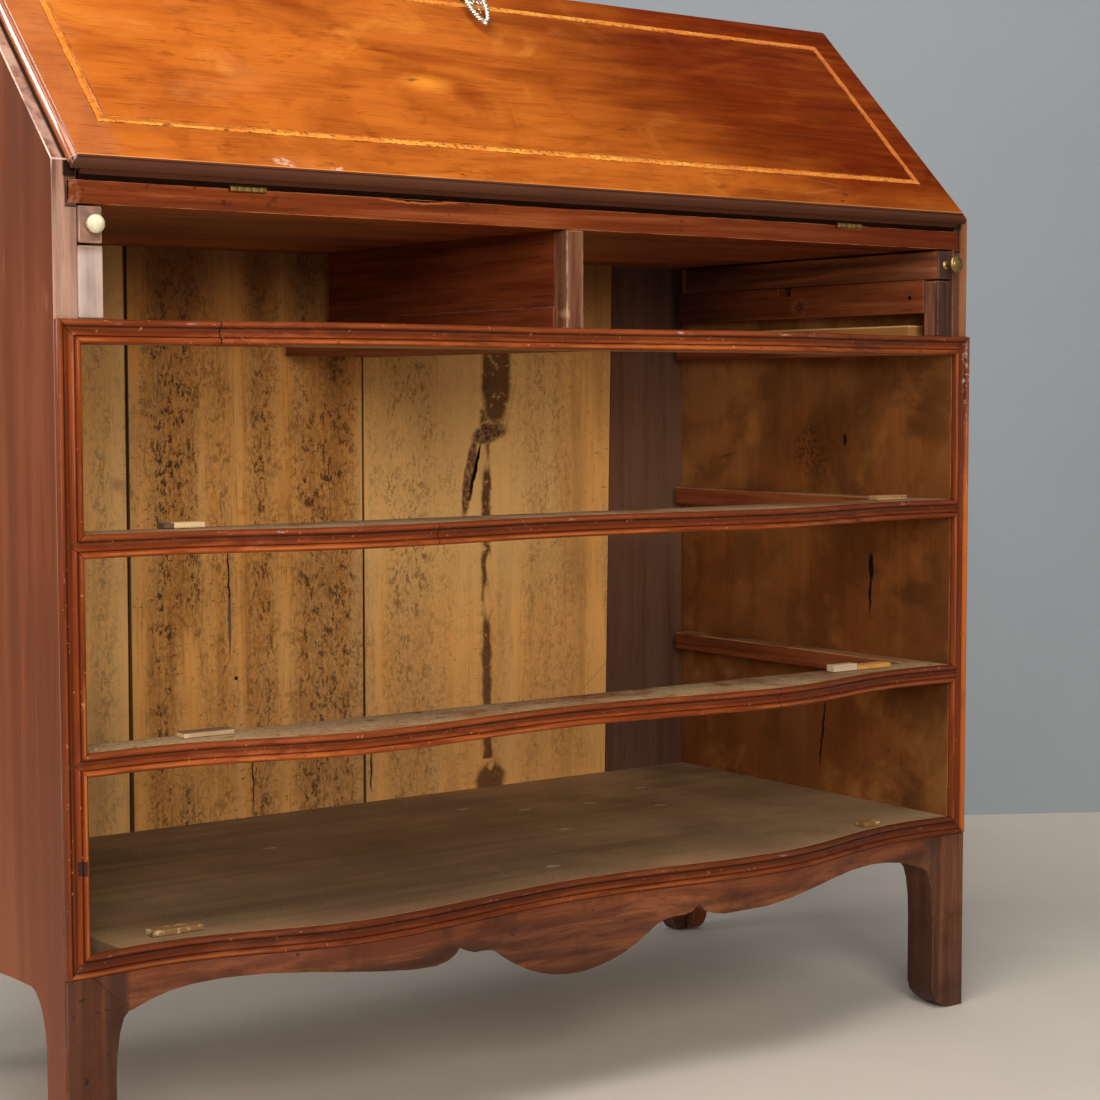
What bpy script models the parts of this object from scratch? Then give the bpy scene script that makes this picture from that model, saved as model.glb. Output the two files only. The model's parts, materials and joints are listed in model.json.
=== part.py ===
"""Fall front secretaire with its case drawers taken out.

The case is built in a front frame: X to the right, Y towards the back with zero at
the front edges of the sides, Z up from the floor. One empty moves that frame so that
the object's origin is the middle of its underside. The fall has a frame of its own on
its hinge axis: X along the axis, Y up the slope and Z out of the outer face.
"""
import math

import bmesh
import bpy
from mathutils import Matrix, Vector

# Driving dimensions of the case, in metres
case_width = 1.000
case_depth = 0.442
foot_height = 0.1812
bay_heights = (0.1392, 0.1515, 0.1474)
short_bay_height = 0.0879
desk_rise = 0.2290
slope_angle = math.radians(45)

# Boards
side_thickness = 0.0205
top_thickness = 0.0177
writing_thickness = 0.0180
rail_thickness = 0.0188
back_thickness = 0.0120
rail_back = 0.0400
hinge_rail_depth = 0.0595
hinge_rail_lap = 0.0085

# Clearances
seat_gap = 0.0003
sliding_gap = 0.0008
seam_gap = 0.0012
overrun = 0.0050
knuckle_gap = 0.0004
pin_gap = 0.0004
eased_edge = 0.0009
merge_distance = 0.00001

# Double serpentine of the front, as depths before the sides' front edges
bow_depth = 0.0320
bow_centre_depth = 0.0114
bow_cove_depth = 0.0035
bow_centre = -0.0135
bow_lobe = 0.2250
bow_cove_share = 0.84
plan_steps = 34

# Moulding round the long drawers: a bead each side of a hollow
moulding_projection = 0.0065
moulding_edge = 0.0036
moulding_bead = 0.0056
hollow_edge = 0.0046
hollow_depth = 0.0022
bead_steps = 4
hollow_steps = 3

# Apron and feet
apron_thickness = 0.0100
apron_setback = 0.0025
apron_pendant_drop = 0.0657
foot_depth = 0.0340
foot_width = 0.0420
foot_shoulder_height = 0.1500
side_knee_share = 0.75
front_knee_share = 0.62
foot_sole_width = 0.0170
foot_sole_radius = 0.0250
foot_mitre_top_width = 0.0240
side_foot_depth = 0.0365
side_arch_height = 0.1633
side_arch_sag = 0.0058
side_arch_run = 0.0290
rear_bracket_width = 0.0840
rear_bracket_thickness = 0.0200

# Drawer runners, guides and stops
runner_width = 0.0235
runner_back_gap = 0.0170
centre_runner_width = 0.1100
centre_runner_offset = -0.0080
divider_offset = -0.0020
divider_post_width = 0.0190
divider_post_depth = 0.0180
divider_board_thickness = 0.0140
divider_foot_reach = 0.0015
divider_foot_width = 0.0170
divider_foot_height = 0.0195
side_guide_height = 0.0120
guide_bar_rise = 0.0120
guide_notch_depth = 0.0090
guide_notch_width = 0.0200
guide_notch_place = 0.2200
stop_height = 0.0045
stop_depth = 0.0140
stop_length = 0.0460

# Lopers
loper_width = 0.0205
loper_height = 0.0284
loper_back_gap = 0.0300
loper_block_depth = 0.0200
loper_block_gap = 0.0018
bone_knob_radius = 0.0073
bone_knob_length = 0.0150
brass_knob_radius = 0.0085
brass_knob_length = 0.0190

# Fall, in its own frame
fall_thickness = 0.0195
lip_thickness = 0.0092
lip_overlap = 0.0080
field_margin = 0.0066
field_rise = 0.0012
lip_radius = 0.0055
lip_side_gap = 0.0009
inlay_inset = 0.0420
inlay_bottom = 0.0482
inlay_top_margin = 0.0340
inlay_width = 0.0060
inlay_thickness = 0.0012

# Butt hinges
pivot_reach = 0.0006
hinge_place_share = 0.664
hinge_length = 0.0330
hinge_leaf_width = 0.0200
hinge_leaf_thickness = 0.0014
knuckle_radius = 0.0028
hinge_pin_radius = 0.0010
hinge_knuckles = 5

# Lock and key
key_from_top = 0.0279
lock_width = 0.0600
lock_height = 0.0400
lock_depth = 0.0117
lock_plate_width = 0.0750
lock_plate_thickness = 0.0015
lock_plate_lip = 0.0090
bolt_half_width = 0.0120
bolt_arm_width = 0.0042
bolt_thickness = 0.0044
bolt_inset = 0.0034
bolt_bridge = 0.0026
bolt_arm_length = 0.0200
bolt_throw = 0.0100
bolt_play = 0.0004
mortise_clearance = 0.0024
bit_radius = 0.0048
bit_cavity_radius = 0.0060
bit_thickness = 0.0016
bit_height = 0.0040
key_shank_radius = 0.0022
keyhole_radius = 0.0030
key_reach = 0.0360
key_collar_radius = 0.0048
key_collar_length = 0.0034
key_ear_gap = 0.0060
key_ear_thickness = 0.0016
key_ear_length = 0.0046
bow_length = 0.0480
bow_width = 0.0230
bow_thickness = 0.0026
bow_strand = 0.0038
bow_barrel_radius = 0.0022
bow_pin_radius = 0.0009
bow_neck_length = 0.0054
bow_head = 0.0038
bow_neck_relief = 0.00015
bow_tip_radius = 0.0030
bow_droop = math.radians(8)
bow_pear_share = 0.30
bow_hole_share = 0.27
bow_eye_share = 0.52

# Gallery behind the fall
gallery_setback = 0.0100
gallery_board = 0.0060
partition_setback = 0.0010
gallery_drawer_count = 2
pigeonhole_count = 8
inner_drawer_height = 0.0590
inner_drawer_wall = 0.0060
inner_drawer_front = 0.0100
inner_drawer_floor = 0.0050
inner_drawer_side_gap = 0.0010
inner_knob_radius = 0.0060
inner_knob_length = 0.0130
partition_scoop = 0.0350
scoop_steps = 8

# Places worked out from the sizes above
half_width = case_width / 2
inner_half = half_width - side_thickness
flat_half = inner_half
bow_cove = half_width * bow_cove_share
front_reach = bow_depth + moulding_projection
centre_y = (case_depth - front_reach) / 2
back_face = case_depth - back_thickness
loper_length = back_face - loper_back_gap
base_bottom = foot_height + seat_gap
base_top = base_bottom + rail_thickness
rail_1_top = base_top + sum(bay_heights) + len(bay_heights) * rail_thickness
writing_bottom = rail_1_top + short_bay_height
writing_top = writing_bottom + writing_thickness
writing_height = writing_top + seat_gap
case_height = writing_height + desk_rise
sin_slope = math.sin(slope_angle)
cos_slope = math.cos(slope_angle)
lip_plane = fall_thickness - lip_thickness
side_plane = lip_plane - seat_gap
shoulder_height = writing_height + side_plane / cos_slope + pivot_reach * sin_slope / cos_slope
top_bottom = case_height - top_thickness
fall_length = (desk_rise - fall_thickness * cos_slope) / sin_slope
fall_inner_length = (top_bottom - writing_height - lip_plane * cos_slope) / sin_slope - 2 * seat_gap
loper_top = writing_height - fall_thickness - seat_gap
loper_bottom = loper_top - loper_height
block_top = loper_bottom - loper_block_gap
key_place = fall_length - key_from_top
pivot_y = -pivot_reach

# Colour, roughness and metallic value of each finish
finishes = {
    "side_wood": ((0.27, 0.085, 0.032), 0.42, 0.0),
    "fall_wood": ((0.50, 0.155, 0.028), 0.30, 0.0),
    "moulding_wood": ((0.130, 0.028, 0.013), 0.30, 0.0),
    "rail_wood": ((0.190, 0.065, 0.025), 0.50, 0.0),
    "apron_wood": ((0.180, 0.048, 0.018), 0.40, 0.0),
    "pale_pine": ((0.55, 0.32, 0.12), 0.75, 0.0),
    "dark_pine": ((0.060, 0.030, 0.018), 0.75, 0.0),
    "floor_pine": ((0.085, 0.056, 0.030), 0.85, 0.0),
    "runner_wood": ((0.170, 0.065, 0.025), 0.65, 0.0),
    "stop_wood": ((0.42, 0.24, 0.09), 0.75, 0.0),
    "block_wood": ((0.20, 0.12, 0.095), 0.45, 0.0),
    "inlay_wood": ((0.72, 0.36, 0.08), 0.35, 0.0),
    "gallery_wood": ((0.24, 0.090, 0.034), 0.50, 0.0),
    "brass": ((0.48, 0.32, 0.11), 0.38, 1.0),
    "steel": ((0.30, 0.29, 0.27), 0.45, 1.0),
    "silver": ((0.72, 0.70, 0.66), 0.25, 1.0),
    "bone": ((0.78, 0.74, 0.60), 0.35, 0.0),
}


def clear_scene():
    for item in list(bpy.data.objects):
        bpy.data.objects.remove(item, do_unlink=True)


def make_collection(name):
    collection = bpy.data.collections.new(name)
    bpy.context.scene.collection.children.link(collection)
    return collection


def make_material(name, finish):
    colour, roughness, metallic = finishes[finish]
    material = bpy.data.materials.new(name)
    material.use_nodes = True
    shader = material.node_tree.nodes["Principled BSDF"]
    shader.inputs["Base Color"].default_value = (*colour, 1.0)
    shader.inputs["Roughness"].default_value = roughness
    shader.inputs["Metallic"].default_value = metallic
    material.diffuse_color = (*colour, 1.0)
    return material


def make_empty(name, parent, location, tilt=0.0):
    empty = bpy.data.objects.new(name, None)
    empty.empty_display_size = side_thickness
    empty.location = location
    empty.rotation_euler = (tilt, 0, 0)
    empty.parent = parent
    parts.objects.link(empty)
    return empty


def add_part(name, mesh, finish, parent, location=(0, 0, 0), rotation=(0, 0, 0)):
    item = bpy.data.objects.new(name, mesh)
    item.parent = parent
    item.location = location
    item.rotation_euler = rotation
    if finish is None:
        cutters.objects.link(item)
        item.hide_render = True
        item.display_type = "WIRE"
    else:
        parts.objects.link(item)
        mesh.materials.append(make_material(name, finish))
    return item


def mesh_from(bm, name):
    mesh = bpy.data.meshes.new(name)
    bm.to_mesh(mesh)
    bm.free()
    return mesh


def box(name, low, high, finish, parent, edge=0.0):
    """A board between two corners, with its origin in its middle."""
    low, high = Vector(low), Vector(high)
    bm = bmesh.new()
    bmesh.ops.create_cube(bm, size=1)
    bmesh.ops.scale(bm, vec=high - low, verts=bm.verts)
    item = add_part(name, mesh_from(bm, name), finish, parent, (low + high) / 2)
    if edge:
        ease_edges(item, edge)
    return item


def ease_edges(item, width, segments=1):
    bevel = item.modifiers.new("eased_edges", "BEVEL")
    bevel.width = width
    bevel.segments = segments
    bevel.limit_method = "ANGLE"
    bevel.angle_limit = math.radians(40)


# Rotations that stand a flat outline on its extrusion axis
outline_turns = {
    "X": Matrix(((0, 0, 1), (1, 0, 0), (0, 1, 0))),
    "Y": Matrix(((1, 0, 0), (0, 0, -1), (0, 1, 0))),
    "Z": Matrix.Identity(3),
}


def slab(name, outlines, axis, low, high, finish, parent):
    """A flat outline, with any holes, extruded between two places along one axis."""
    curve = bpy.data.curves.new(name + "_outline", "CURVE")
    curve.dimensions = "2D"
    curve.fill_mode = "BOTH"
    curve.extrude = (high - low) / 2
    for outline in outlines:
        spline = curve.splines.new("POLY")
        spline.points.add(len(outline) - 1)
        for point, (across, up) in zip(spline.points, outline):
            point.co = (across, up, 0, 1)
        spline.use_cyclic_u = True
    drawn = bpy.data.objects.new(name + "_outline", curve)
    bpy.context.scene.collection.objects.link(drawn)
    bpy.context.view_layer.update()
    graph = bpy.context.evaluated_depsgraph_get()
    mesh = bpy.data.meshes.new_from_object(drawn.evaluated_get(graph))
    mesh.name = name
    mesh.materials.clear()
    bpy.data.objects.remove(drawn, do_unlink=True)
    bm = bmesh.new()
    bm.from_mesh(mesh)
    bmesh.ops.remove_doubles(bm, verts=bm.verts, dist=merge_distance)
    bmesh.ops.recalc_face_normals(bm, faces=bm.faces)
    bm.to_mesh(mesh)
    bm.free()
    turn = outline_turns[axis]
    middle = (low + high) / 2
    if axis == "Y":
        middle = -middle
    return add_part(name, mesh, finish, parent, turn @ Vector((0, 0, middle)), turn.to_euler())


def loft(name, sections, finish, parent):
    """A solid skinned over closed sections that have the same number of points."""
    bm = bmesh.new()
    rings = [[bm.verts.new(point) for point in section] for section in sections]
    count = len(sections[0])
    for ring, following in zip(rings, rings[1:]):
        for index in range(count):
            beside = (index + 1) % count
            bm.faces.new((ring[index], ring[beside], following[beside], following[index]))
    bm.faces.new(rings[0])
    bm.faces.new(rings[-1])
    bmesh.ops.recalc_face_normals(bm, faces=bm.faces)
    return add_part(name, mesh_from(bm, name), finish, parent)


def turned(name, profile, steps, finish, parent, location, rotation=(0, 0, 0)):
    """A turned piece: radius and height pairs, from its top to its bottom."""
    bm = bmesh.new()
    points = [bm.verts.new((radius, 0, height)) for radius, height in profile]
    for above, below in zip(points, points[1:]):
        bm.edges.new((above, below))
    item = add_part(name, mesh_from(bm, name), finish, parent, location, rotation)
    screw = item.modifiers.new("turning", "SCREW")
    screw.axis = "Z"
    screw.steps = steps
    screw.render_steps = steps
    screw.use_merge_vertices = True
    screw.merge_threshold = merge_distance
    screw.use_smooth_shade = True
    return item


def rod(name, radius, length, sides, finish, parent, location, axis="Z"):
    """A round bar centred on its place."""
    turns = {"X": (0, math.pi / 2, 0), "Y": (math.pi / 2, 0, 0), "Z": (0, 0, 0)}
    bm = bmesh.new()
    bmesh.ops.create_cone(
        bm, cap_ends=True, segments=sides, radius1=radius, radius2=radius, depth=length
    )
    return add_part(name, mesh_from(bm, name), finish, parent, location, turns[axis])


def combine(item, tool, operation):
    modifier = item.modifiers.new(tool.name, "BOOLEAN")
    modifier.operation = operation
    modifier.solver = "EXACT"
    modifier.object = tool


def bow(x):
    """How far the double serpentine front stands before the sides at x."""
    side = abs(x)
    reach = abs(x - bow_centre)
    lobe = abs(bow_centre + math.copysign(bow_lobe, x - bow_centre))
    if reach <= bow_lobe:
        mix = (1 - math.cos(math.pi * reach / bow_lobe)) / 2
        return bow_centre_depth + (bow_depth - bow_centre_depth) * mix
    if side <= bow_cove:
        mix = (1 + math.cos(math.pi * (side - lobe) / (bow_cove - lobe))) / 2
        return -bow_cove_depth + (bow_depth + bow_cove_depth) * mix
    if side <= flat_half:
        share = (side - bow_cove) / (flat_half - bow_cove)
        return -bow_cove_depth * math.cos(math.pi / 2 * share)
    return 0.0


def plan_places(reach):
    """Stations along the front, from one end to the other, with the creases among them."""
    places = {-reach, reach, -flat_half, flat_half}
    places |= {bow_centre - bow_lobe, bow_centre, bow_centre + bow_lobe}
    for index in range(plan_steps + 1):
        places.add(-flat_half + 2 * flat_half * index / plan_steps)
    kept = []
    for place in sorted(places):
        if not kept or place - kept[-1] > moulding_edge or abs(place) >= flat_half:
            kept.append(place)
    return kept


def arc(centre, radius, start, end, steps):
    """Points of an arc in a flat outline, angles in degrees."""
    points = []
    for index in range(steps + 1):
        angle = math.radians(start + (end - start) * index / steps)
        points.append((centre[0] + radius * math.cos(angle), centre[1] + radius * math.sin(angle)))
    return points


def mirrored(points, line=0.0):
    return [(2 * line - across, up) for across, up in reversed(points)]


def bow_plan(reach, front_offset, back, places):
    """A plan outline whose front follows the serpentine and whose back is straight."""
    front = [(x, -bow(x) - front_offset) for x in places if abs(x) <= reach]
    return [(-reach, back), *front, (reach, back)]


def slope_to_case(along, out):
    """The place in the front frame of a point given up the slope and out of it."""
    return (
        pivot_y + along * cos_slope - out * sin_slope,
        writing_height + along * sin_slope + out * cos_slope,
    )


def level_bottoms():
    """Undersides of the three rails, from the lowest up."""
    bottoms = []
    level = base_top
    for bay in bay_heights:
        bottoms.append(level + bay)
        level += bay + rail_thickness
    return bottoms


def foot_back_curve(depth, sole, radius, shoulder, steps=4):
    """Back edge of a foot from its sole up: a round heel and then a straight shank."""
    rise = arc((depth - radius, radius), radius, -90, 0, steps)
    scale = (depth - sole) / radius
    heel = [(sole + (across - (depth - radius)) * scale, up) for across, up in rise]
    return [*heel, (depth, shoulder)]


def side_outline():
    """A side seen from its flank: two feet, the arch between them and the slope."""
    knee = foot_shoulder_height * side_knee_share
    heel = foot_back_curve(side_foot_depth, foot_sole_width, foot_sole_radius, knee)
    curve = []
    for index in range(1, scoop_steps):
        share = index / scoop_steps
        angle = share * math.pi / 2
        across = side_foot_depth + side_arch_run * (1 - math.cos(angle))
        up = knee + (side_arch_height - knee) * math.sin(angle)
        curve.append((across, up))
    arch_start = side_foot_depth + side_arch_run
    front = [*heel, *curve, (arch_start, side_arch_height)]
    middle = case_depth / 2
    sag = []
    for index in range(1, scoop_steps):
        share = index / scoop_steps
        across = arch_start + (case_depth - 2 * arch_start) * share
        sag.append((across, side_arch_height - side_arch_sag * math.sin(math.pi * share) ** 2))
    underside = [*front, *sag, *mirrored(front, middle)]
    slope_top = (top_bottom - shoulder_height) * cos_slope / sin_slope
    crown = top_bottom - seat_gap
    slope_end = slope_top - seat_gap * cos_slope / sin_slope
    crown_edge = [(case_depth, 0), (case_depth, crown), (slope_end, crown), (0, shoulder_height)]
    return [(0, 0), *underside, *crown_edge]


def make_sides():
    outline = side_outline()
    for name, sign in (("left", -1), ("right", 1)):
        inner, outer = sorted((sign * inner_half, sign * half_width))
        side = slab("side_" + name, [outline], "X", inner, outer, "side_wood", case)
        notch_end = sign * (inner_half + hinge_rail_lap + seat_gap)
        notch_start = sign * (inner_half - overrun)
        low_x, high_x = sorted((notch_start, notch_end))
        notch = box(
            "hinge_rail_notch_" + name,
            (low_x, -overrun, writing_bottom - seat_gap),
            (high_x, hinge_rail_depth + seat_gap, writing_top + seat_gap),
            None,
            case,
        )
        combine(side, notch, "DIFFERENCE")


def make_top():
    """The top board, bevelled in front to the line of the slope."""
    def slope_y(height):
        return (height - shoulder_height) * cos_slope / sin_slope

    outline = [
        (slope_y(top_bottom), top_bottom),
        (case_depth, top_bottom),
        (case_depth, case_height),
        (slope_y(case_height), case_height),
    ]
    top = slab("top_board", [outline], "X", -half_width, half_width, "side_wood", case)
    mortise = box(
        "bolt_mortise",
        (-bolt_half_width - sliding_gap, fall_inner_length - seat_gap, bolt_inset - sliding_gap),
        (
            bolt_half_width + sliding_gap,
            fall_inner_length + bolt_throw + mortise_clearance,
            bolt_inset + bolt_thickness + sliding_gap,
        ),
        None,
        fall_frame,
    )
    combine(top, mortise, "DIFFERENCE")


def make_writing_boards():
    box(
        "writing_board",
        (-inner_half + seat_gap, hinge_rail_depth + seat_gap, writing_bottom),
        (inner_half - seat_gap, back_face - seat_gap, writing_top),
        "gallery_wood",
        case,
    )
    rail_half = inner_half + hinge_rail_lap
    rail = box(
        "hinge_rail",
        (-rail_half, 0, writing_bottom),
        (rail_half, hinge_rail_depth, writing_top),
        "rail_wood",
        case,
    )
    for name, sign in hinge_sides:
        half = hinge_length / 2 + seat_gap
        place = sign * hinge_place
        leaf_room = box(
            "rail_leaf_recess_" + name,
            (place - half, -overrun, writing_top - hinge_leaf_thickness - seat_gap),
            (place + half, hinge_leaf_width + pivot_y + seat_gap, writing_top + overrun),
            None,
            case,
        )
        knuckle_room = rod(
            "rail_knuckle_recess_" + name,
            knuckle_radius + knuckle_gap,
            2 * half,
            16,
            None,
            case,
            (place, pivot_y, writing_height),
            "X",
        )
        combine(rail, leaf_room, "DIFFERENCE")
        combine(rail, knuckle_room, "DIFFERENCE")


def moulding_section(width):
    """Across and out pairs of the moulding's face, from one edge to the other."""
    points = []
    for index in range(bead_steps + 1):
        angle = math.pi * index / bead_steps
        across = moulding_bead * (1 - math.cos(angle)) / 2
        points.append((across, moulding_edge + (moulding_projection - moulding_edge) * math.sin(angle)))
    hollow_width = width - 2 * moulding_bead
    for index in range(hollow_steps + 1):
        share = index / hollow_steps
        out = hollow_edge - hollow_depth * math.sin(math.pi * share)
        points.append((moulding_bead + seat_gap + (hollow_width - 2 * seat_gap) * share, out))
    far_bead = [(width - across, out) for across, out in reversed(points[: bead_steps + 1])]
    return points + far_bead


def make_rail_mouldings():
    """Serpentine mouldings of the three rails and the base, cut to meet the stiles."""
    bottoms = level_bottoms()
    levels = [("base_moulding", base_bottom)]
    for name, bottom in zip(("rail_moulding_3", "rail_moulding_2", "rail_moulding_1"), bottoms):
        levels.append((name, bottom))
    face = moulding_section(rail_thickness)
    for name, bottom in levels:
        mitred = name in ("base_moulding", "rail_moulding_1")
        reach = half_width if mitred else inner_half + rail_thickness / 2 + seat_gap
        sections = []
        for x in plan_places(reach):
            front = -bow(x)
            section = [(x, front - out, bottom + across) for across, out in face]
            section.append((x, front - seat_gap, bottom + rail_thickness))
            section.insert(0, (x, front - seat_gap, bottom))
            sections.append(section)
        strip = loft(name, sections, "moulding_wood", case)
        outline = rail_end_outline(name, bottom)
        frame = slab(name + "_mitres", [outline], "Y", -front_reach - overrun, overrun, None, case)
        combine(strip, frame, "INTERSECT")


def rail_end_outline(name, bottom):
    """Front view of a rail moulding: mitred at the frame's corners, pointed between."""
    top = bottom + rail_thickness
    corner = inner_half + rail_thickness + overrun
    if name == "base_moulding":
        right = [(corner, bottom - overrun), (inner_half, top), (inner_half, top + overrun)]
    elif name == "rail_moulding_1":
        right = [(inner_half, bottom - overrun), (inner_half, bottom), (corner, top + overrun)]
    else:
        point = (inner_half + rail_thickness / 2, bottom + rail_thickness / 2)
        right = [(inner_half, bottom - overrun), (inner_half, bottom), point]
        right += [(inner_half, top), (inner_half, top + overrun)]
    return [*right, *mirrored(right)]


def make_stile_mouldings():
    """Straight mouldings on the sides' front edges, notched for the pointed rail ends."""
    bottoms = level_bottoms()
    top = bottoms[2] + rail_thickness
    face = moulding_section(side_thickness)
    slip = seat_gap * math.sqrt(2)
    for name, sign in (("left", -1), ("right", 1)):
        sections = []
        for z in (base_bottom - overrun, top + overrun):
            section = [(sign * (inner_half + across), -out, z) for across, out in face]
            section.append((sign * half_width, -seat_gap, z))
            section.insert(0, (sign * inner_half, -seat_gap, z))
            sections.append(section)
        strip = loft("stile_moulding_" + name, sections, "moulding_wood", case)
        right = [(inner_half - overrun, base_top + slip), (inner_half, base_top + slip)]
        right.append((inner_half + rail_thickness, base_bottom + slip))
        right.append((half_width + overrun, base_bottom + slip))
        right.append((half_width + overrun, top - slip))
        right.append((inner_half + rail_thickness, top - slip))
        right.append((inner_half, bottoms[2] - slip))
        right.append((inner_half - overrun, bottoms[2] - slip))
        for bottom in (bottoms[1], bottoms[0]):
            middle = bottom + rail_thickness / 2
            right.append((inner_half - overrun, bottom + rail_thickness + slip))
            right.append((inner_half, bottom + rail_thickness + slip))
            right.append((inner_half + rail_thickness / 2 + slip, middle))
            right.append((inner_half, bottom - slip))
            right.append((inner_half - overrun, bottom - slip))
        outline = right if sign > 0 else mirrored(right)
        frame = slab(
            "stile_mitres_" + name, [outline], "Y", -moulding_projection - overrun, overrun, None, case
        )
        combine(strip, frame, "INTERSECT")


def make_rails():
    reach = inner_half - seat_gap
    places = plan_places(reach)
    for name, bottom in zip(("rail_3", "rail_2", "rail_1"), level_bottoms()):
        outline = bow_plan(reach, 0.0, rail_back, places)
        slab(name, [outline], "Z", bottom, bottom + rail_thickness, "rail_wood", case)
    outline = bow_plan(reach, 0.0, back_face - seat_gap, places)
    slab("bottom_board", [outline], "Z", base_bottom, base_top, "floor_pine", case)


# Apron's lower edge beside its pendant: places as shares of the half width from the
# pendant's middle, and rises as shares of the apron's depth there
pendant_shares = (
    (0.000, 0.000),
    (0.022, 0.008),
    (0.050, 0.040),
    (0.076, 0.088),
    (0.104, 0.165),
    (0.132, 0.275),
    (0.156, 0.395),
    (0.176, 0.500),
    (0.196, 0.566),
    (0.216, 0.586),
    (0.236, 0.590),
    (0.252, 0.622),
    (0.268, 0.722),
    (0.280, 0.624),
    (0.298, 0.560),
    (0.324, 0.528),
)
# Lower edge from there to the foot: shares of the half width from the case's middle
arch_shares = (
    (0.400, 0.545),
    (0.460, 0.600),
    (0.520, 0.660),
    (0.590, 0.720),
    (0.660, 0.755),
    (0.730, 0.752),
    (0.780, 0.722),
    (0.822, 0.675),
    (0.856, 0.605),
    (0.891, 0.515),
)


def apron_edge():
    """The apron's lower edge from left to right, as places and heights."""
    lowest = foot_height - apron_pendant_drop
    arch = [(share * half_width, lowest + rise * apron_pendant_drop) for share, rise in arch_shares]
    pendant = [(share * half_width, lowest + rise * apron_pendant_drop) for share, rise in pendant_shares]
    right = [(bow_centre + x, z) for x, z in pendant]
    left = [(bow_centre - x, z) for x, z in pendant[1:]]
    return [*mirrored(arch), *reversed(left), *right, *arch]


def apron_height(edge, x):
    for (x0, z0), (x1, z1) in zip(edge, edge[1:]):
        if x0 <= x <= x1:
            return z0 + (z1 - z0) * (x - x0) / (x1 - x0)
    return edge[0][1]


def make_apron():
    edge = apron_edge()
    corner_x = edge[-1][0]
    front = moulding_projection - apron_setback
    places = sorted({x for x, z in edge} | {x for x in plan_places(flat_half) if abs(x) < corner_x})
    kept = [places[0]]
    for x in places[1:]:
        if x - kept[-1] > moulding_edge / 2 or x == corner_x:
            kept.append(x)
    ends = half_width - foot_mitre_top_width
    sections = []
    tip = foot_height - seat_gap
    stations = [(-ends, tip), *[(x, apron_height(edge, x)) for x in kept], (ends, tip)]
    for x, low in stations:
        outer = -bow(x) - front
        inner = outer + apron_thickness
        section = [(x, outer, low), (x, outer, foot_height), (x, inner, foot_height), (x, inner, low)]
        sections.append(section)
    loft("apron", sections, "apron_wood", case)


def make_front_feet():
    """Bracket feet lapped over the sides' front edges and mitred to the apron."""
    front = moulding_projection - apron_setback
    edge = apron_edge()
    corner = edge[-1]
    slip = seat_gap * math.sqrt(2)
    top_outer = half_width - foot_mitre_top_width
    shoulder = half_width - foot_width
    sole = half_width - foot_sole_width
    knee = foot_shoulder_height * front_knee_share
    heel = foot_back_curve(foot_width, foot_sole_width, foot_sole_radius, knee)
    inner_edge = [(half_width - across, up) for across, up in heel]
    flare = []
    for index in range(1, bead_steps + 1):
        turn = math.pi / 2 * index / bead_steps
        across = shoulder - (shoulder - corner[0] - slip) * (1 - math.cos(turn))
        flare.append((across, knee + (corner[1] - knee) * math.sin(turn)))
    outline = [(half_width + overrun, -overrun), (sole, -overrun), *inner_edge, *flare]
    outline += [(top_outer + slip, foot_height), (top_outer + slip, foot_height + overrun)]
    outline.append((half_width + overrun, foot_height + overrun))
    inner_x = corner[0] - overrun
    cove = []
    for index in range(scoop_steps + 1):
        x = inner_x + (flat_half - inner_x) * index / scoop_steps
        cove.append((x, -bow(x) - front))
    plan = [*cove, (half_width, -front), (half_width, -seat_gap), (inner_half - seat_gap, -seat_gap)]
    plan += [(inner_half - seat_gap, foot_depth), (inner_x, foot_depth)]
    heel = foot_back_curve(foot_depth, foot_sole_width, foot_sole_radius, foot_shoulder_height)
    flank = [(-overrun - front, -overrun), *heel]
    flank += [(foot_depth + overrun, foot_shoulder_height), (foot_depth + overrun, foot_height + overrun)]
    flank.append((-overrun - front, foot_height + overrun))
    for name, sign in (("left", -1), ("right", 1)):
        plan_outline = plan if sign > 0 else mirrored(plan)
        front_outline = outline if sign > 0 else mirrored(outline)
        foot = slab("front_foot_" + name, [plan_outline], "Z", 0.0, foot_height, "apron_wood", case)
        face = slab(
            "foot_face_" + name, [front_outline], "Y", -front - overrun, foot_depth + overrun, None, case
        )
        low, high = sorted((sign * (inner_x - overrun), sign * (half_width + overrun)))
        heel_cut = slab("foot_flank_" + name, [flank], "X", low, high, None, case)
        combine(foot, face, "INTERSECT")
        combine(foot, heel_cut, "INTERSECT")


def make_rear_feet():
    """Brackets inside the sides' rear feet, along the back."""
    back = case_depth - seat_gap
    outer = inner_half - seat_gap
    knee = foot_shoulder_height * front_knee_share
    heel = foot_back_curve(foot_width - side_thickness, foot_sole_width / 2, foot_sole_radius, knee)
    inner_edge = [(outer - across, up) for across, up in heel]
    start_x, start_z = inner_edge[-1]
    end_x = outer - rear_bracket_width
    flare = []
    for index in range(1, scoop_steps + 1):
        share = index / scoop_steps
        across = start_x + (end_x - start_x) * (1 - math.cos(share * math.pi / 2))
        up = start_z + (foot_height - rail_thickness / 2 - start_z) * math.sin(share * math.pi / 2)
        flare.append((across, up))
    outline = [(outer, 0), *inner_edge, *flare, (end_x, foot_height), (outer, foot_height)]
    for name, sign in (("left", -1), ("right", 1)):
        shape = outline if sign > 0 else mirrored(outline)
        slab("rear_foot_" + name, [shape], "Y", back - rear_bracket_thickness, back, "apron_wood", case)


# Edges between the back boards, as shares of the inner half width at top and bottom
back_seam_shares = ((-0.482, -0.492), (0.085, 0.079), (0.791, 0.761))


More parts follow.
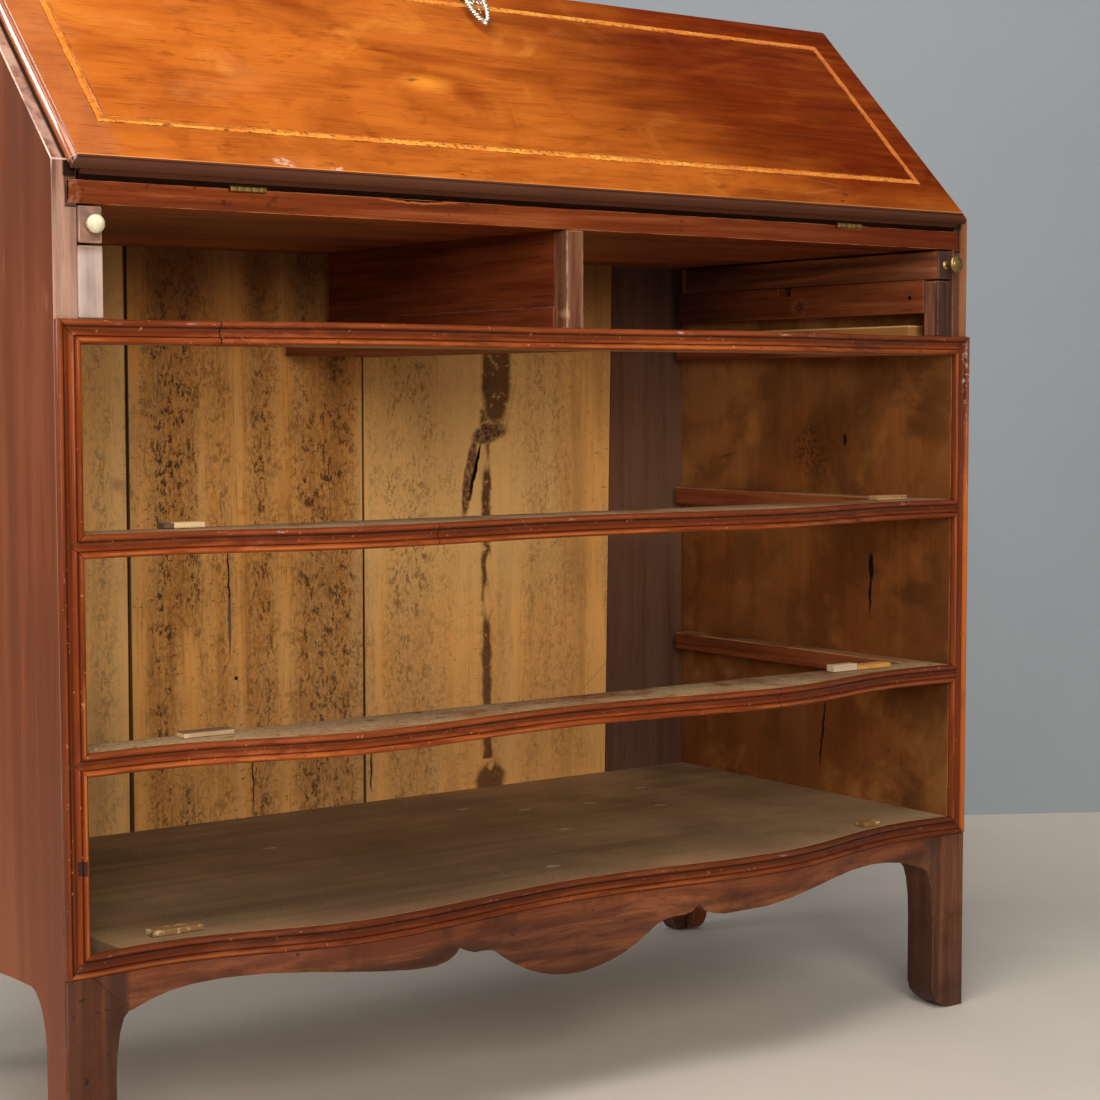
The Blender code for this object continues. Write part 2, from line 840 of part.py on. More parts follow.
def make_back_boards():
    low = base_bottom
    high = top_bottom - seat_gap
    limit_share = 1 - seat_gap / inner_half
    seams = [(-limit_share, -limit_share), *back_seam_shares, (limit_share, limit_share)]
    finishes_used = ("pale_pine", "pale_pine", "pale_pine", "dark_pine")
    for index, finish in enumerate(finishes_used):
        left_gap = seam_gap / 2 if index > 0 else 0.0
        right_gap = seam_gap / 2 if index < 3 else 0.0
        left_top, left_bottom = (share * inner_half + left_gap for share in seams[index])
        right_top, right_bottom = (share * inner_half - right_gap for share in seams[index + 1])
        outline = [(left_bottom, low), (right_bottom, low), (right_top, high), (left_top, high)]
        slab("back_board_" + str(index + 1), [outline], "Y", back_face, case_depth, finish, case)


def make_runners():
    """Runners behind the rails; the top pair carries the short drawers' side guides."""
    back = back_face - runner_back_gap
    start = rail_back + seat_gap
    guide_inner = inner_half - sliding_gap - loper_width
    bottoms = level_bottoms()
    for label, bottom in zip(("3", "2", "1"), bottoms):
        top = bottom + rail_thickness
        inner = inner_half - runner_width
        outer = inner_half - seat_gap
        outline = [(inner, bottom), (outer, bottom), (outer, top), (inner, top)]
        if label == "1":
            guide_top = top + side_guide_height
            outline[2:3] = [(outer, guide_top), (guide_inner, guide_top), (guide_inner, top)]
        for name, sign in (("left", -1), ("right", 1)):
            shape = outline if sign > 0 else mirrored(outline)
            slab("runner_" + label + "_" + name, [shape], "Y", start, back, "runner_wood", case)
    half = centre_runner_width / 2
    box(
        "runner_1_centre",
        (centre_runner_offset - half, start, bottoms[2]),
        (centre_runner_offset + half, back, bottoms[2] + rail_thickness),
        "runner_wood",
        case,
    )


def make_divider():
    """The post between the short drawers, and the board behind it on its guide foot."""
    low = rail_1_top + seat_gap
    high = writing_bottom - seat_gap
    half = divider_post_width / 2
    box(
        "divider_post",
        (divider_offset - half, 0, low),
        (divider_offset + half, divider_post_depth, high),
        "block_wood",
        case,
        edge=eased_edge,
    )
    left = divider_offset - half
    right = left + divider_board_thickness
    foot_left = left - divider_foot_reach
    foot_right = foot_left + divider_foot_width
    foot_top = low + divider_foot_height
    outline = [(foot_left, low), (foot_right, low), (foot_right, foot_top), (right, foot_top)]
    outline += [(right, high), (left, high), (left, foot_top), (foot_left, foot_top)]
    start = divider_post_depth + seat_gap
    back = back_face - runner_back_gap
    slab("divider_board", [outline], "Y", start, back, "gallery_wood", case)


def make_loper_guides():
    """Blocks and bars that carry the lopers, and the short drawers' side guides."""
    bar_top = loper_bottom - seat_gap
    bar_bottom = rail_1_top + side_guide_height + guide_bar_rise
    inner = inner_half - sliding_gap - loper_width
    outer = inner_half - seat_gap
    back = back_face - runner_back_gap
    for name, sign in (("left", -1), ("right", 1)):
        low, high = sorted((sign * inner, sign * outer))
        box(
            "filler_block_" + name,
            (low, 0, rail_1_top + seat_gap),
            (high, loper_block_depth, block_top),
            "block_wood",
            case,
            edge=eased_edge,
        )
        start = loper_block_depth + seat_gap
        notch_front = guide_notch_place
        notch_back = guide_notch_place + guide_notch_width
        notch_floor = bar_top - guide_notch_depth
        outline = [(start, bar_bottom), (back, bar_bottom), (back, bar_top)]
        outline += [(notch_back, bar_top), (notch_back, notch_floor)]
        outline += [(notch_front, notch_floor), (notch_front, bar_top), (start, bar_top)]
        slab("loper_guide_" + name, [outline], "X", low, high, "runner_wood", case)


# Stops nailed on the rails behind the drawer fronts: name, place along the front as a
# share of the inner half width, place back from the rail's front as a share of the room
# there, and length as a share of the longest
stop_shares = (
    ("stop_base_left", -0.82, 0.62, 1.00),
    ("stop_base_right", 0.783, 0.12, 0.45),
    ("stop_3_left", -0.753, 0.76, 1.00),
    ("stop_3_right", 0.818, 0.74, 1.00),
    ("stop_2_left", -0.788, 1.00, 0.80),
    ("stop_2_right", 0.877, 0.92, 0.90),
)


def make_drawer_stops():
    bottoms = level_bottoms()
    levels = {
        "base": base_top,
        "3": bottoms[0] + rail_thickness,
        "2": bottoms[1] + rail_thickness,
    }
    room = rail_back - stop_depth
    for name, place, setback, share in stop_shares:
        half = stop_length * share / 2
        low = levels[name.split("_")[1]] + seat_gap
        front = setback * room
        box(
            name,
            (place * inner_half - half, front, low),
            (place * inner_half + half, front + stop_depth, low + stop_height),
            "stop_wood",
            case,
        )


# Turned profiles, top to bottom, as shares of the knob's radius and of its length
brass_knob_shares = (
    (0.00, 1.00),
    (0.55, 0.97),
    (0.88, 0.91),
    (1.00, 0.83),
    (0.90, 0.74),
    (0.38, 0.55),
    (0.30, 0.20),
    (0.48, 0.08),
    (0.48, 0.00),
    (0.00, 0.00),
)
bone_knob_shares = (
    (0.00, 1.00),
    (0.38, 0.964),
    (0.71, 0.857),
    (0.92, 0.699),
    (1.00, 0.513),
    (0.92, 0.327),
    (0.71, 0.169),
    (0.50, 0.075),
    (0.50, 0.00),
    (0.00, 0.00),
)
inner_knob_shares = (
    (0.00, 1.00),
    (0.70, 0.93),
    (1.00, 0.72),
    (0.80, 0.48),
    (0.40, 0.30),
    (0.55, 0.00),
    (0.55, -0.40),
    (0.00, -0.40),
)


def knob_profile(shares, radius, length):
    return [(radius * across, length * along) for across, along in shares]


def make_lopers():
    """Pull-out bearers for the open fall, each with its knob."""
    knobs = (
        ("left", -1, knob_profile(bone_knob_shares, bone_knob_radius, bone_knob_length), "bone"),
        ("right", 1, knob_profile(brass_knob_shares, brass_knob_radius, brass_knob_length), "brass"),
    )
    for name, sign, profile, finish in knobs:
        middle = sign * (inner_half - sliding_gap - loper_width / 2)
        axis = make_empty("loper_axis_" + name, case, (middle, 0, (loper_top + loper_bottom) / 2))
        half = loper_width / 2 - seat_gap
        box(
            "loper_" + name,
            (-half, 0, -loper_height / 2),
            (half, loper_length, loper_height / 2),
            "block_wood",
            axis,
            edge=eased_edge,
        )
        turned(
            "loper_knob_" + name, profile, 16, finish, axis, (0, -seat_gap, 0), (math.pi / 2, 0, 0)
        )


def make_fall():
    """The sloping writing flap: a slab between the sides with a moulded lip round it."""
    lip_half = inner_half + lip_overlap
    bm = bmesh.new()
    bmesh.ops.create_cube(bm, size=1)
    size = Vector((2 * lip_half, fall_length, lip_thickness - field_rise))
    middle = Vector((0, fall_length / 2, lip_plane + size.z / 2))
    bmesh.ops.scale(bm, vec=size, verts=bm.verts)
    bmesh.ops.translate(bm, vec=middle, verts=bm.verts)
    outer = [max(bm.faces, key=lambda face: face.calc_center_median().z)]
    rim = list(outer[0].edges)
    bmesh.ops.inset_region(bm, faces=outer, thickness=field_margin)
    bmesh.ops.inset_region(bm, faces=outer, thickness=seat_gap, depth=field_rise)
    bmesh.ops.bevel(
        bm, geom=rim, offset=lip_radius, offset_type="OFFSET", segments=3, profile=0.5, affect="EDGES"
    )
    fall = add_part("fall_panel", mesh_from(bm, "fall_panel"), "fall_wood", fall_frame)
    inner = inner_half - lip_side_gap
    joined = lip_plane + lip_thickness / 4
    body = box("fall_body", (-inner, seat_gap, 0), (inner, fall_inner_length, joined), None, fall_frame)
    combine(fall, body, "UNION")
    cut_fall_fittings(fall)
    return fall


def cut_fall_fittings(fall):
    for name, sign in hinge_sides:
        half = hinge_length / 2 + seat_gap
        place = sign * hinge_place
        leaf_room = box(
            "fall_leaf_recess_" + name,
            (place - half, -overrun, -overrun),
            (place + half, hinge_leaf_width + seat_gap, hinge_leaf_thickness + 2 * seat_gap),
            None,
            fall_frame,
        )
        knuckle_room = rod(
            "fall_knuckle_recess_" + name,
            knuckle_radius + knuckle_gap,
            2 * half,
            16,
            None,
            fall_frame,
            (place, 0, 0),
            "X",
        )
        combine(fall, leaf_room, "DIFFERENCE")
        combine(fall, knuckle_room, "DIFFERENCE")
    lock_low = fall_inner_length - lock_height
    lock_room = box(
        "lock_mortise",
        (-lock_width / 2 - seat_gap, lock_low - seat_gap, -overrun),
        (lock_width / 2 + seat_gap, fall_inner_length + sliding_gap, lock_depth + seat_gap),
        None,
        fall_frame,
    )
    plate_room = box(
        "lock_plate_recess",
        (-lock_plate_width / 2 - seat_gap, lock_low - lock_plate_lip - seat_gap, -overrun),
        (lock_plate_width / 2 + seat_gap, fall_inner_length + sliding_gap, lock_plate_thickness + seat_gap),
        None,
        fall_frame,
    )
    keyhole = rod(
        "keyhole", keyhole_radius, fall_thickness, 16, None, fall_frame, (0, key_place, fall_thickness)
    )
    groove = inlay_ring("inlay_groove", seat_gap, None, fall_thickness + overrun)
    for tool in (lock_room, plate_room, keyhole, groove):
        combine(fall, tool, "DIFFERENCE")


def inlay_ring(name, room, finish, high):
    """The stringing's rectangle, with room round it when it is the groove."""
    outer_x = inner_half + lip_overlap - inlay_inset + inlay_width + room
    inner_x = outer_x - inlay_width - 2 * room
    low = inlay_bottom - room
    top = fall_length - inlay_top_margin + room
    width = inlay_width + 2 * room
    outer = [(-outer_x, low), (outer_x, low), (outer_x, top), (-outer_x, top)]
    hole = [(-inner_x, low + width), (inner_x, low + width), (inner_x, top - width), (-inner_x, top - width)]
    floor = fall_thickness - inlay_thickness - room
    return slab(name, [outer, hole], "Z", floor, high, finish, fall_frame)


def make_hinge(name, sign):
    """One butt hinge: a leaf let into the rail with its pin, and a leaf on the fall."""
    place = sign * hinge_place
    pitch = hinge_length / hinge_knuckles
    for label, frame, origin in (
        ("hinge_rail_leaf_", case, (place, pivot_y, writing_height)),
        ("hinge_fall_leaf_", fall_frame, (place, 0, 0)),
    ):
        on_fall = frame is fall_frame
        axis = make_empty(label + "axis_" + name, frame, origin)
        near = seat_gap if on_fall else -seat_gap - hinge_leaf_thickness
        far = near + hinge_leaf_thickness
        leaf = box(
            label + name,
            (-hinge_length / 2, knuckle_radius + knuckle_gap * 2, near),
            (hinge_length / 2, hinge_leaf_width - pivot_reach, far),
            "brass",
            axis,
        )
        for index in range(1 if on_fall else 0, hinge_knuckles, 2):
            low = -hinge_length / 2 + index * pitch + knuckle_gap / 2
            high = low + pitch - knuckle_gap
            middle = ((low + high) / 2, 0, 0)
            mark = label + name + "_" + str(index)
            barrel = rod(mark + "_knuckle", knuckle_radius, high - low, 12, None, axis, middle, "X")
            strap = box(
                mark + "_strap",
                (low, knuckle_radius / 2, near),
                (high, knuckle_radius + knuckle_gap * 4, far),
                None,
                axis,
            )
            combine(leaf, barrel, "UNION")
            combine(leaf, strap, "UNION")
        if on_fall:
            room = hinge_pin_radius + pin_gap
            bore = rod(label + name + "_bore", room, 2 * hinge_length, 10, None, axis, (0, 0, 0), "X")
            combine(leaf, bore, "DIFFERENCE")
        else:
            length = hinge_length - knuckle_gap * 2
            pin = rod(label + name + "_pin", hinge_pin_radius, length, 10, None, axis, (0, 0, 0), "X")
            combine(leaf, pin, "UNION")


def make_lock():
    """Case with its plate, the sliding bolt, and the turning key with its drop bow."""
    top = fall_inner_length - seat_gap
    low = fall_inner_length - lock_height
    lock = box(
        "lock_case", (-lock_width / 2, low, seat_gap), (lock_width / 2, top, lock_depth), "brass", fall_frame
    )
    plate = box(
        "lock_plate",
        (-lock_plate_width / 2, low - lock_plate_lip, seat_gap / 2),
        (lock_plate_width / 2, top - seat_gap, lock_plate_thickness),
        None,
        fall_frame,
    )
    bolt_top = top - seat_gap
    arm_low = bolt_top - bolt_arm_length
    channel = box(
        "bolt_channel",
        (-bolt_half_width - bolt_play, arm_low - bolt_play, bolt_inset - bolt_play),
        (bolt_half_width + bolt_play, top + overrun, bolt_inset + bolt_thickness + bolt_play),
        None,
        fall_frame,
    )
    bore = rod(
        "key_bore", keyhole_radius, lock_depth, 12, None, fall_frame, (0, key_place, lock_depth)
    )
    combine(lock, plate, "UNION")
    combine(lock, channel, "DIFFERENCE")
    combine(lock, bore, "DIFFERENCE")
    inner = bolt_half_width - bolt_arm_width
    bridge = bolt_top - bolt_bridge
    outline = [(-bolt_half_width, arm_low), (-inner, arm_low), (-inner, bridge), (inner, bridge)]
    outline += [(inner, arm_low), (bolt_half_width, arm_low)]
    outline += [(bolt_half_width, bolt_top), (-bolt_half_width, bolt_top)]
    slab("lock_bolt", [outline], "Z", bolt_inset, bolt_inset + bolt_thickness, "steel", fall_frame)


key_collar_shares = ((0.00, 0.58), (0.85, 0.50), (1.00, 0.10), (0.80, -0.38), (0.00, -0.50))


def make_key():
    """A key in its keyhole, with an openwork bow that hangs from ears on its shank."""
    axis = make_empty("key_axis", fall_frame, (0, key_place, 0))
    foot = bolt_inset
    ear_top = key_reach
    ear_low = key_reach - key_ear_length
    shank = rod(
        "key", key_shank_radius, ear_low - foot, 12, "silver", axis, (0, 0, (foot + ear_low) / 2)
    )
    bit = box(
        "key_bit",
        (-bit_thickness / 2, -bit_radius, foot),
        (bit_thickness / 2, 0, foot + bit_height),
        None,
        axis,
    )
    collar_profile = knob_profile(key_collar_shares, key_collar_radius, key_collar_length)
    collar = turned("key_collar", collar_profile, 12, None, axis, (0, 0, ear_low - key_collar_length / 2))
    combine(shank, bit, "UNION")
    combine(shank, collar, "UNION")
    pivot_z = ear_top - key_ear_length / 3
    for name, sign in (("left", -1), ("right", 1)):
        low, high = sorted((sign * key_ear_gap / 2, sign * (key_ear_gap / 2 + key_ear_thickness)))
        ear = box(
            "key_ear_" + name,
            (low, -bow_barrel_radius, ear_low - key_shank_radius / 2),
            (high, bow_barrel_radius, ear_top),
            None,
            axis,
        )
        combine(shank, ear, "UNION")
    cross_pin = rod(
        "key_cross_pin", bow_pin_radius, key_ear_gap + key_ear_thickness, 8, None, axis, (0, 0, pivot_z), "X"
    )
    combine(shank, cross_pin, "UNION")
    make_key_bow(axis, pivot_z)


def make_key_bow(axis, pivot_z):
    """Openwork drop: a barrel on the cross pin and a leaf of two loops below it."""
    bow_axis = make_empty("key_bow_axis", axis, (0, 0, pivot_z), bow_droop)
    steps = 20
    outer = []
    for index in range(steps):
        turn = 2 * math.pi * index / steps
        reach = (1 - math.cos(turn)) / 2
        swell = math.sin(turn) * (1 + bow_pear_share * math.cos(turn))
        outer.append((bow_width / 2 * swell, -bow_head - (bow_length - bow_head) * reach))
    holes = []
    for side in (-1, 1):
        hole = []
        for index in range(10):
            turn = 2 * math.pi * (index + side / 8) / 10
            across = side * (bow_width / 4 + (bow_width / 4 - bow_strand) * math.cos(turn))
            up = bow_length * (bow_hole_share * math.sin(turn) - bow_eye_share)
            hole.append((across, up))
        holes.append(hole)
    leaf = slab("key_bow", [outer, *holes], "Z", -bow_thickness / 2, bow_thickness / 2, "silver", bow_axis)
    barrel_length = key_ear_gap - 2 * knuckle_gap
    neck_half = bow_thickness / 2 - bow_neck_relief
    barrel = rod("bow_barrel", bow_barrel_radius, barrel_length, 12, None, bow_axis, (0, 0, 0), "X")
    neck = box(
        "bow_neck",
        (-barrel_length / 2, -bow_neck_length, -neck_half),
        (barrel_length / 2, 0, neck_half),
        None,
        bow_axis,
    )
    tip = bmesh.new()
    bmesh.ops.create_uvsphere(tip, u_segments=8, v_segments=6, radius=bow_tip_radius)
    bead = add_part("bow_tip", mesh_from(tip, "bow_tip"), None, bow_axis, (0, -bow_length, 0))
    bore = rod("bow_bore", bow_pin_radius + pin_gap, 2 * key_ear_gap, 10, None, bow_axis, (0, 0, 0), "X")
    for tool in (barrel, neck, bead):
        combine(leaf, tool, "UNION")
    combine(leaf, bore, "DIFFERENCE")


def gallery_front():
    """Front of the gallery, clear of the closed fall's inner face and its lock."""
    top_y = slope_to_case(fall_inner_length, 0)[0]
    return top_y + gallery_setback


def make_gallery():
    """A glued rack of shelf and partitions, with two small drawers under its shelf."""
    front = gallery_front()
    back = back_face - seat_gap
    half = inner_half - seat_gap
    floor = writing_top + seat_gap
    shelf_bottom = floor + inner_drawer_height + sliding_gap
    shelf_top = shelf_bottom + gallery_board
    shelf_middle = (shelf_bottom + shelf_top) / 2
    ceiling = top_bottom - seat_gap
    rack = box("gallery_rack", (-half, front, shelf_bottom), (half, back, shelf_top), "gallery_wood", case)
    near, far = front + partition_setback, back - partition_setback
    hole_pitch = 2 * inner_half / pigeonhole_count
    for index in range(1, pigeonhole_count):
        place = -inner_half + index * hole_pitch
        outline = partition_outline(near, far, shelf_middle, ceiling)
        low = place - gallery_board / 2
        name = "partition_" + str(index)
        wall = slab(name, [outline], "X", low, low + gallery_board, None, case)
        combine(rack, wall, "UNION")
    drawer_pitch = 2 * inner_half / gallery_drawer_count
    for index in range(1, gallery_drawer_count):
        place = -inner_half + index * drawer_pitch
        wall = box(
            "drawer_division_" + str(index),
            (place - gallery_board / 2, near, floor),
            (place + gallery_board / 2, far, shelf_middle),
            None,
            case,
        )
        combine(rack, wall, "UNION")
    width = drawer_pitch - gallery_board - 2 * inner_drawer_side_gap
    for index in range(gallery_drawer_count):
        # The outer walls of the row are the sides themselves, without a division
        shift = gallery_board / 4 * (1 if index else -1)
        place = -inner_half + index * drawer_pitch + drawer_pitch / 2 + shift
        make_inner_drawer(index + 1, place, width, front, back)


def partition_outline(front, back, low, high):
    """A pigeonhole wall whose front edge is scooped back in its middle."""
    scoop = []
    for index in range(scoop_steps + 1):
        share = index / scoop_steps
        depth = partition_scoop * math.sin(math.pi * share) ** 2
        scoop.append((front + depth, high + (low - high) * share))
    return [(back, low), (back, high), *scoop]


def make_inner_drawer(number, place, width, front, back):
    """An open box with a small turned knob, its origin in the middle of its front."""
    length = back - front - sliding_gap
    low = writing_top + seat_gap
    bm = bmesh.new()
    bmesh.ops.create_cube(bm, size=1)
    bmesh.ops.scale(bm, vec=(width, length, inner_drawer_height), verts=bm.verts)
    bmesh.ops.translate(bm, vec=(0, length / 2, 0), verts=bm.verts)
    drawer = add_part(
        "inner_drawer_" + str(number),
        mesh_from(bm, "inner_drawer"),
        "gallery_wood",
        case,
        (place, front, low + inner_drawer_height / 2),
    )
    hollow = box(
        "inner_drawer_hollow_" + str(number),
        (
            -width / 2 + inner_drawer_wall,
            inner_drawer_front,
            -inner_drawer_height / 2 + inner_drawer_floor,
        ),
        (width / 2 - inner_drawer_wall, length - inner_drawer_wall, inner_drawer_height / 2 + overrun),
        None,
        drawer,
    )
    knob = turned(
        "inner_drawer_knob_" + str(number),
        knob_profile(inner_knob_shares, inner_knob_radius, inner_knob_length),
        12,
        None,
        drawer,
        (0, 0, 0),
        (math.pi / 2, 0, 0),
    )
    combine(drawer, hollow, "DIFFERENCE")
    combine(drawer, knob, "UNION")


clear_scene()
parts = make_collection("fall_front_secretaire")
cutters = make_collection("cutters")
hinge_place = hinge_place_share * half_width
hinge_sides = (("left", -1), ("right", 1))
case = make_empty("case_frame", None, (0, -centre_y, 0))
fall_frame = make_empty("fall_frame", case, (0, pivot_y, writing_height), slope_angle)

make_sides()
make_top()
make_writing_boards()
make_rail_mouldings()
make_stile_mouldings()
make_rails()
make_apron()
make_front_feet()
make_rear_feet()
make_back_boards()
make_runners()
make_divider()
make_loper_guides()
make_drawer_stops()
make_lopers()
make_fall()
inlay_ring("fall_inlay", 0.0, "inlay_wood", fall_thickness)
for hinge_name, hinge_sign in hinge_sides:
    make_hinge(hinge_name, hinge_sign)
make_lock()
make_key()
make_gallery()
bpy.context.view_layer.update()
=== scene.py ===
import json
import math

import bpy
from mathutils import Matrix, Vector

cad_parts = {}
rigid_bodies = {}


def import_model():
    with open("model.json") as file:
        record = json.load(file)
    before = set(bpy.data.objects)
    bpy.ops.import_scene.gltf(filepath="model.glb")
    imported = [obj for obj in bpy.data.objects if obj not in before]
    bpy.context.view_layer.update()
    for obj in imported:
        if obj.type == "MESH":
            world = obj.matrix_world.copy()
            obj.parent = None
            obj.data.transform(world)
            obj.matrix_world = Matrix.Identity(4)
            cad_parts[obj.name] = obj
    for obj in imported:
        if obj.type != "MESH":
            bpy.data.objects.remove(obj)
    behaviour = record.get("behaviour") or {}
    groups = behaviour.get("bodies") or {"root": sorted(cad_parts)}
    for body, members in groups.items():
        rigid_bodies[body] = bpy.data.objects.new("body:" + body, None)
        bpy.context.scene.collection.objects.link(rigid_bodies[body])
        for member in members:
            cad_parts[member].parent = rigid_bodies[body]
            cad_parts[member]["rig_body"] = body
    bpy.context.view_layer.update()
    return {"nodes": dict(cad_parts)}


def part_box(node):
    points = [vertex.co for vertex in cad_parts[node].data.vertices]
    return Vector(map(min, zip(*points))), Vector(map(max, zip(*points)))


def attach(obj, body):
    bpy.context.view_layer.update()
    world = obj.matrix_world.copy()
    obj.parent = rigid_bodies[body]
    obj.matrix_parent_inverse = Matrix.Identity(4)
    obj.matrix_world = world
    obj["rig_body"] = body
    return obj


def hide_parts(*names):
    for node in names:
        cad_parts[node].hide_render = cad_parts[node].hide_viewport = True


bl_info = {
    "name": "Fall front secretaire finishes",
    "version": (1, 0, 0),
    "blender": (4, 5, 0),
    "location": "3D View > Sidebar > Secretaire",
    "description": "Woods, metals, small fittings, studio and camera for a fall front secretaire",
    "category": "Object",
}

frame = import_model()

SLOPE = Vector((0, math.sqrt(0.5), math.sqrt(0.5)))
OUTWARD = Vector((0, -math.sqrt(0.5), math.sqrt(0.5)))
FALL_HINGE = Vector((0, -0.20235, 0.801))
BACK_FACE = 0.22825
BOARD_REAR = 0.232
SIDE_INNER = 0.4798
SIDE_FRONT = -0.2012
LIP_RISE = 0.0064
MOULDING_HEIGHT = 0.0188
BASE_BOTTOM = 0.1815
MERGE = 1e-5
SPIN_STEPS = 48
RAIL_BOTTOMS = {"rail_moulding_1": 0.676, "rail_moulding_2": 0.5098, "rail_moulding_3": 0.3395}


def rises(node):
    """How far up the slope each point of a node lies, from the fall's hinge."""
    return [(vertex.co - FALL_HINGE).dot(SLOPE) for vertex in frame["nodes"][node].data.vertices]


def tone(red, green, blue):
    """A colour written from 0 to 255, as linear values."""
    linear = []
    for value in (red, green, blue):
        share = value / 255
        linear.append(share / 12.92 if share <= 0.04045 else ((share + 0.055) / 1.055) ** 2.4)
    return tuple(linear)


def colour_choice(name, description, shade):
    """A colour property with its default."""
    return bpy.props.FloatVectorProperty(
        name=name, description=description, subtype="COLOR", size=3, min=0, max=1, default=tone(*shade)
    )


def length_choice(name, description, default, low, high):
    """A length property in metres."""
    return bpy.props.FloatProperty(
        name=name, description=description, default=default, min=low, max=high, subtype="DISTANCE", unit="LENGTH"
    )


class SecretaireWoods(bpy.types.PropertyGroup):
    """Colours of the woods."""
    side_outer: colour_choice("Side", "Polished outside of the case", (126, 64, 34))
    side_inner: colour_choice("Side inside", "Bare inside of the case sides", (150, 90, 42))
    # The fall's light tone also stands for its painted sheen to the left, its dark tone for its painted shade to the
    # right.
    fall_light: colour_choice("Fall, light", "Lightest tone of the polished fall", (184, 98, 32))
    fall_dark: colour_choice("Fall, dark", "Darkest tone of the polished fall", (104, 30, 6))
    moulding: colour_choice("Mouldings", "Mouldings round the drawer bays", (134, 58, 20))
    rail: colour_choice("Rails", "Drawer rails and hinge rail", (126, 56, 22))
    apron: colour_choice("Apron", "Apron and bracket feet", (84, 45, 26))
    pine: colour_choice("Pine", "Pale back boards", (248, 176, 92))
    dark_pine: colour_choice("Dark pine", "The stained back board", (112, 72, 50))
    floor: colour_choice("Bottom board", "Dusty bottom board", (156, 124, 86))
    stringing: colour_choice("Stringing", "Light line let into the fall", (244, 160, 60))


class SecretaireFittings(bpy.types.PropertyGroup):
    """Colours and sizes of the fittings."""
    brass: colour_choice("Brass", "Hinges, lock and one knob", (176, 140, 76))
    silver: colour_choice("Silver", "Key and its drop", (222, 216, 202))
    bone: colour_choice("Bone", "The cream loper knob", (226, 214, 176))
    arris: length_choice("Arris", "Width of the worn edges of the boards", 0.0009, 0.0002, 0.002)
    strand: length_choice("Strand", "Radius of one strand of the key's twisted drop", 0.00125, 0.0004, 0.002)
    screw_head: length_choice("Screw head", "Radius of the hinge screws' heads", 0.0024, 0.001, 0.004)
    nail_head: length_choice("Nail head", "Radius of the back boards' nail heads", 0.0024, 0.001, 0.004)


class SecretaireStage(bpy.types.PropertyGroup):
    """Floor, wall, lamps and camera."""
    floor: colour_choice("Floor", "Pale studio floor", (214, 202, 188))
    wall: colour_choice("Wall", "Plain wall behind the piece", (152, 158, 162))
    key_power: bpy.props.FloatProperty(
        name="Key lamp", description="Power of the front lamp", default=98.0, min=0, max=500, subtype="POWER",
        unit="POWER",
    )
    top_power: bpy.props.FloatProperty(
        name="Top lamp", description="Power of the overhead lamp", default=52.0, min=0, max=500, subtype="POWER",
        unit="POWER",
    )
    side_power: bpy.props.FloatProperty(
        name="Side lamp", description="Power of the lamp to the left", default=20.0, min=0, max=500, subtype="POWER",
        unit="POWER",
    )
    gleam_power: bpy.props.FloatProperty(
        name="Gleam lamp", description="Power of the lamp that only shines in polish", default=70.0, min=0, max=500,
        subtype="POWER", unit="POWER",
    )
    ambient: bpy.props.FloatProperty(
        name="Ambient", description="Strength of the even light", default=0.27, min=0, max=2, subtype="FACTOR"
    )
    lens: bpy.props.FloatProperty(
        name="Lens", description="Focal length of the camera", default=73.2, min=20, max=200, unit="CAMERA"
    )


def woods():
    return bpy.context.scene.secretaire_woods


def fittings():
    return bpy.context.scene.secretaire_fittings


# ---------------------------------------------------------------- materials


